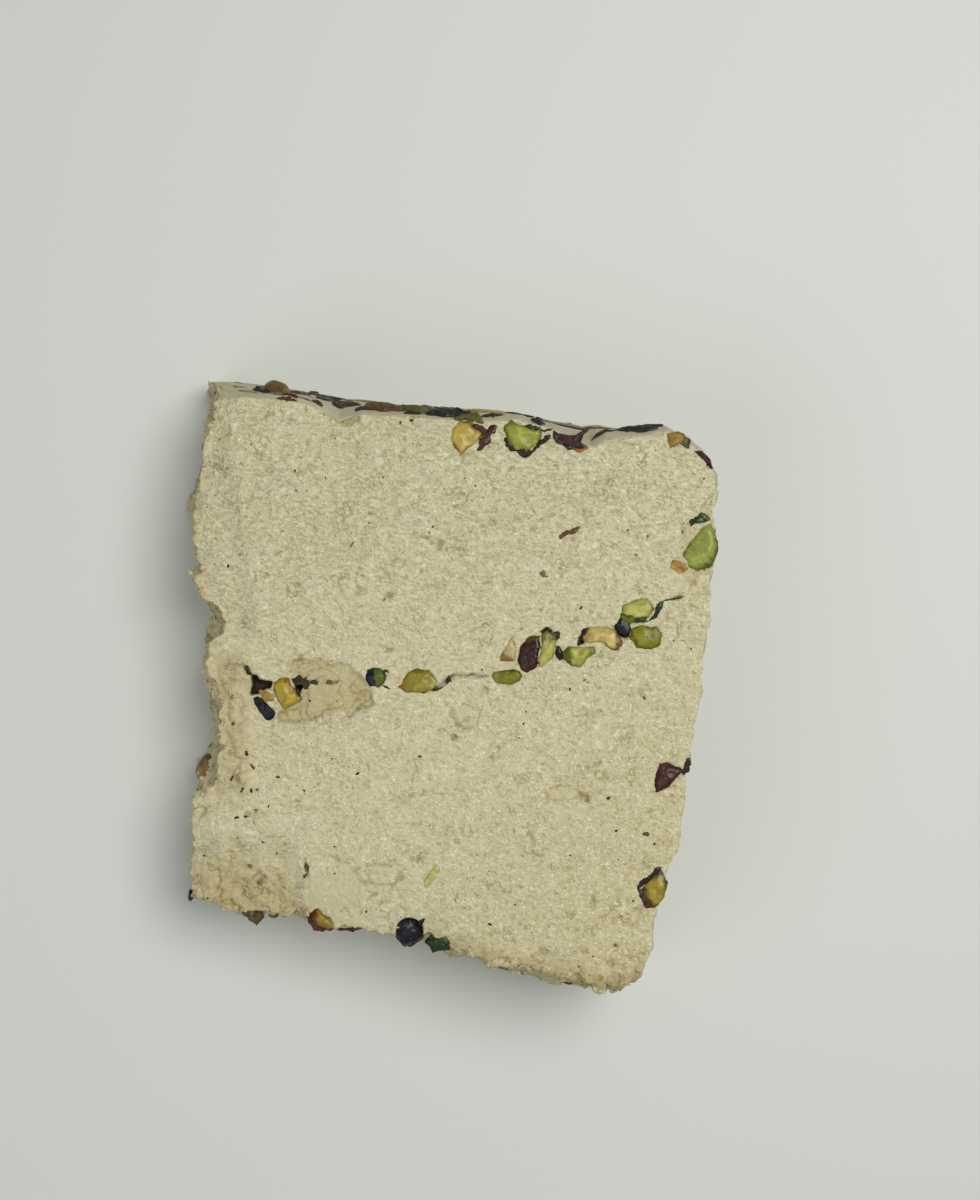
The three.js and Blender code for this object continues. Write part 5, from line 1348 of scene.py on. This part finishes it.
def fibre_group():
    """Fibres: pale lines where a noise stretched along X crosses its mean, on axes bent by two wider noises.
    Length and Width are in metres. Turn is an angle about Z."""
    group, (at, length, width, bend, turn), out = new_group(
        "felted_fibres", {"Length": 0.0012, "Width": 0.0005, "Bend": 0.0012, "Turn": 0.0}, ("Line", "Value"))
    at = put(group, "ShaderNodeVectorRotate", {"Vector": at, "Angle": turn}, rotation_type="Z_AXIS")
    for scale, share in ((110.0, 3.0), (620.0, 1.0)):
        off = put(group, "ShaderNodeTexNoise", {"Vector": at, "Scale": scale, "Detail": 1.0}, "Color")
        off = put(group, "ShaderNodeVectorMath", {0: off, 1: (0.5, 0.5, 0.5)}, operation="SUBTRACT")
        off = put(group, "ShaderNodeVectorMath", {0: off, "Scale": bend * share}, operation="SCALE")
        at = put(group, "ShaderNodeVectorMath", {0: at, 1: off}, operation="ADD")
    x, y, z = put(group, "ShaderNodeSeparateXYZ", {0: at}, 0, 1, 2)
    at = put(group, "ShaderNodeCombineXYZ", {0: x / length, 1: y / width, 2: z / width})
    inputs = {"Vector": at, "Scale": 1.0, "Detail": 1.5, "Roughness": 0.5}
    grain = put(group, "ShaderNodeTexNoise", inputs, "Fac")
    feed(group, out, {"Line": (grain - 0.5).math("ABSOLUTE").spread(0.0, 0.16, 1.0, 0.0), "Value": grain})
    return group


def speck_group():
    """Specks: cells of a Voronoi pattern, of which a share has a dot of a given size at its middle."""
    group, (at, spacing, size, share), out = new_group(
        "scattered_dots", {"Spacing": 0.001, "Size": 0.3, "Share": 0.2}, ("Mask",))
    scale = put(group, "ShaderNodeMath", {0: 1.0, 1: spacing}, operation="DIVIDE")
    distance, tint = put(group, "ShaderNodeTexVoronoi", {"Vector": at, "Scale": scale}, "Distance", "Color")
    chance = put(group, "ShaderNodeSeparateColor", {0: tint})
    feed(group, out, {"Mask": (distance / size).spread(1.0, 0.6) * chance.math("LESS_THAN", share)})
    return group


FIBRES, DOTS = fibre_group(), speck_group()


def fibres(tree, at, length, width, bend, turn):
    """The pale lines and the noise that they come from."""
    inputs = {"Vector": at, "Length": length, "Width": width, "Bend": bend, "Turn": turn}
    return put(tree, "ShaderNodeGroup", inputs, "Line", "Value", node_tree=FIBRES)


def material(name):
    made = bpy.data.materials.new(name)
    made.use_nodes = True
    tree = made.node_tree
    return made, tree, tree.nodes["Principled BSDF"]


def halva_material():
    """Sesame halva: cream, felted from short pale fibres over duller ground, ochre in its pits, with shiny
    grains here and there, which are also painted bright as highlights. The painted masks say where it is
    torn, where shade is painted, where it is oily or tan, and where it is smooth from the mould."""
    made, tree, surface = material("sesame_halva")
    at = put(tree, "ShaderNodeTexCoord", {}, "Object")
    masks, skin = put(tree, "ShaderNodeAttribute", {}, "Color", "Alpha", attribute_name="tint")
    torn, painted_shade, tan = put(tree, "ShaderNodeSeparateColor", {0: masks}, 0, 1, 2)
    line, value = fibres(tree, at, 0.002, 0.00072, 0.0013, 0.15)
    line2, value2 = fibres(tree, at, 0.0016, 0.00082, 0.0014, 1.2)
    line3, _ = fibres(tree, at, 0.0024, 0.0017, 0.0016, 0.4)
    lengthwise, depthwise = put(tree, "ShaderNodeSeparateXYZ", {0: at}, 0, 1)
    grain, places, clouds = [clouded(tree, at, *kind) for kind in ((3000.0, 2.0), (190.0, 2.0), (75.0, 4.0))]
    # towards the back the fibres drawn along X by the knife outweigh the others
    crossing = line2 * depthwise.spread(0.0, 0.02, 0.85, 0.55)
    drawn = line * depthwise.spread(0.0, 0.02, 1.0, 1.12)
    felt = drawn.math("MAXIMUM", crossing) * 0.5 + value * 0.28 + grain * 0.52
    # their contrast grows towards the back, and a smear of the mould or of oil evens them out
    contrast = depthwise.spread(0.0, 0.035, 2.1, 3.7) * skin.spread(0.0, 0.55, 1.0, 0.25)
    share = (felt - 0.6).math("MULTIPLY_ADD", contrast, 0.5) + torn * 0.35
    colour = blend(tree, share.spread(0.0, 1.0), HALVA_DULL, HALVA_PALE)
    colour = blend(tree, clouds.spread(0.42, 0.68, 0.0, 0.18), colour, HALVA_WARM, "MULTIPLY")
    # the halva is a little warmer towards its front corner at the rim
    cornerwise = (lengthwise - depthwise).spread(0.01, 0.08, 0.0, 0.5)
    colour = blend(tree, cornerwise, colour, HALVA_WARM, "MULTIPLY")
    # ochre in the valleys between the fibres and in fine sunken arcs: partly the halva's darker ground,
    # partly painted shade of these small hollows
    ochre = value2.spread(0.33, 0.24) * clouds.spread(0.4, 0.62, 0.0, 0.7)
    arcs = line3.spread(0.62, 0.9) * places.spread(0.59, 0.66, 0.0, 0.75)
    for share in (ochre, arcs):
        colour = blend(tree, share, colour, HALVA_OCHRE)
    colour = blend(tree, torn * 0.8, colour, HALVA_TORN, "MULTIPLY")
    colour = blend(tree, tan * 0.9, colour, HALVA_TAN, "MULTIPLY")
    moulded = blend(tree, clouds.spread(0.35, 0.65), HALVA_SKIN, HALVA_SKIN_PALE)
    colour = blend(tree, skin.spread(0.55, 1.0, 0.0, 0.88), colour, moulded)
    # painted highlights: the shiny grains are made brighter in colour as well as less rough
    painted_glint = (line * line2 * grain).spread(0.335, 0.44)
    painted_glint = painted_glint * skin.math("MAXIMUM", torn).spread(0.0, 1.0, 1.0, 0.15)
    colour = blend(tree, painted_glint * 0.62, colour, HALVA_GLINT_PAINT)
    # where shade is painted at all, it turns wholly to the shade's colour past a rough edge
    edge = (painted_shade + grain * 0.3).spread(0.57, 0.7, 0.0, 0.6)
    colour = blend(tree, painted_shade + edge, colour, HALVA_SHADE_PAINT)
    evened = skin.math("MAXIMUM", torn * 0.4).spread(0.0, 0.8, 1.0, 0.16)
    height = (felt + ochre * -0.8 + arcs * -0.22) * evened * depthwise.spread(0.0, 0.035, 1.0, 1.4)
    feed(tree, surface, {
        "Base Color": colour, "Roughness": grain.spread(0.35, 0.65, 0.66, 0.8) - painted_glint * 0.35 - tan * 0.14,
        "Normal": put(tree, "ShaderNodeBump", {"Height": height, "Strength": 0.8, "Distance": 0.00028}),
        "Subsurface Weight": 0.12, "Subsurface Radius": (1.0, 0.8, 0.45), "Subsurface Scale": 0.0018})
    return made


def kernel_material(name, rough_low, rough_high, wrinkle, mottled):
    """Pistachio flesh and skin: the painted tint, mottled, with fine wrinkles and a little oil on it."""
    made, tree, surface = material(name)
    at = put(tree, "ShaderNodeTexCoord", {}, "Object")
    tint = put(tree, "ShaderNodeAttribute", {}, "Color", attribute_name="tint")
    broad, fine = clouded(tree, at, 900.0, 3.0, 0.6), clouded(tree, at, 3200.0, 2.0)
    inputs = {"Vector": at, "Spacing": 0.0007, "Size": 0.32, "Share": 0.18}
    fleck = put(tree, "ShaderNodeGroup", inputs, node_tree=DOTS)
    shade = broad.spread(0.3, 0.7, 1 - mottled, 1 + mottled) * fine.spread(0.3, 0.7, 0.9, 1.1)
    grey = put(tree, "ShaderNodeCombineColor", {0: shade, 1: shade, 2: shade})
    colour = blend(tree, fleck * 0.1, blend(tree, 1.0, tint, grey, "MULTIPLY"), HALVA_PALE)
    height = broad + fine * 0.3
    feed(tree, surface, {
        "Base Color": colour, "Roughness": fine.spread(0.3, 0.7, rough_low, rough_high),
        "Normal": put(tree, "ShaderNodeBump", {"Height": height, "Strength": wrinkle, "Distance": 0.0006}),
        "Specular IOR Level": 0.2, "Coat Weight": 0.3, "Coat Roughness": 0.22,
        "Subsurface Weight": 0.05, "Subsurface Radius": (1.0, 0.9, 0.3), "Subsurface Scale": 0.001})
    return made


HALVA_PALE, HALVA_DULL, HALVA_WARM, HALVA_OCHRE, HALVA_GLINT_PAINT, HALVA_SHADE_PAINT, HALVA_TORN, HALVA_TAN = [
    (*linear(*colour), 1) for colour in (
        (210, 203, 166), (184, 175, 134), (244, 238, 222), (156, 146, 96), (240, 238, 220), (50, 36, 16),
        (240, 232, 218), (222, 206, 160))]
HALVA_SKIN, HALVA_SKIN_PALE = [(*linear(*colour), 1) for colour in ((178, 168, 142), (196, 188, 160))]

HALVA = halva_material()
FLESH = kernel_material("pistachio_flesh", 0.34, 0.52, 0.25, 0.13)
SKIN = kernel_material("pistachio_skin", 0.36, 0.58, 0.8, 0.22)


def finish_piece(piece, finish, slot, *nodes):
    piece.data.materials.append(finish)
    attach(piece, "root")
    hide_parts(*nodes)


# ---------------------------------------------------------------- the object

draw = np.random.default_rng(41)
for piece in (cut_face_piece(), sides_piece(), *crumbs_and_shreds(draw)):
    finish_piece(piece, HALVA, "halva", "halva")
finish_piece(skins_piece(), SKIN, "kernel_plum", "halva")
finish_piece(specks_piece(draw), SKIN, "kernel_black", "halva")
for piece in (back_flakes_piece(), pressed_flakes(draw), pressed_chips(draw)):
    finish_piece(piece, SKIN, "kernel_plum", "halva")
for seed, (name, outline) in enumerate(SLICES.items()):
    looks = LOOKS[name]
    piece = slice_piece("kernel_" + name, outline, looks, seed)
    finish_piece(piece, SKIN if looks.get("dull") else FLESH, looks["slot"], "pistachio_" + name)
for seed, (name, slot, size, place, looks) in enumerate(WHOLE):
    piece = whole_kernel("kernel_" + name, size, *place, looks, seed)
    finish_piece(piece, FLESH if looks["bare"] < 0 else SKIN, "kernel_" + slot, "pistachio_" + name)

# ---------------------------------------------------------------- floor, light and camera

bpy.ops.mesh.primitive_plane_add(size=6, location=(0, 0, 0))
floor = bpy.context.object
floor.name = "floor"
floor_paint, floor_tree, floor_surface = material("pale_floor")
feed(floor_tree, floor_surface, {"Base Color": (0.68, 0.7, 0.655, 1), "Roughness": 0.7})
floor.data.materials.append(floor_paint)

scene = bpy.context.scene
scene.view_settings.view_transform = "Standard"
scene.world = bpy.data.worlds.new("studio")
scene.world.use_nodes = True
sky = scene.world.node_tree
feed(sky, sky.nodes["Background"], {"Color": (0.95, 0.98, 1.0, 1), "Strength": 0.255})


def soft_light(name, place, size, power, colour):
    """A round lamp of a size in metres and a power in watts that shines on the wedge."""
    lamp = bpy.data.lights.new(name, "AREA")
    lamp.shape, lamp.size, lamp.energy, lamp.color = "DISK", size, power, colour
    holder = bpy.data.objects.new(name, lamp)
    holder.location = place
    holder.rotation_mode = "QUATERNION"
    holder.rotation_quaternion = (Vector(LIT_POINT) - Vector(place)).to_track_quat("-Z", "Y")
    scene.collection.objects.link(holder)


LIT_POINT = (0, 0, 0.03)
soft_light("key", (0.22, 0.14, 0.62), 0.36, 2.85, (1.0, 0.99, 0.96))
soft_light("fill", (-0.4, -0.3, 0.6), 0.6, 1.1, (0.96, 0.98, 1.0))

OVER, ABOVE, LENS, SENSOR = (7.85, 17.1), 385, 55.3, 36.0  # the camera looks straight down; all in mm
camera_data = bpy.data.cameras.new("camera")
camera_data.sensor_width, camera_data.lens = SENSOR, LENS
camera = bpy.data.objects.new("camera", camera_data)
camera.location = ((OVER[0] - MIDDLE[0]) * MM, (OVER[1] - MIDDLE[1]) * MM, ABOVE * MM)
camera.rotation_euler = (0, 0, 0)
scene.collection.objects.link(camera)
scene.camera = camera
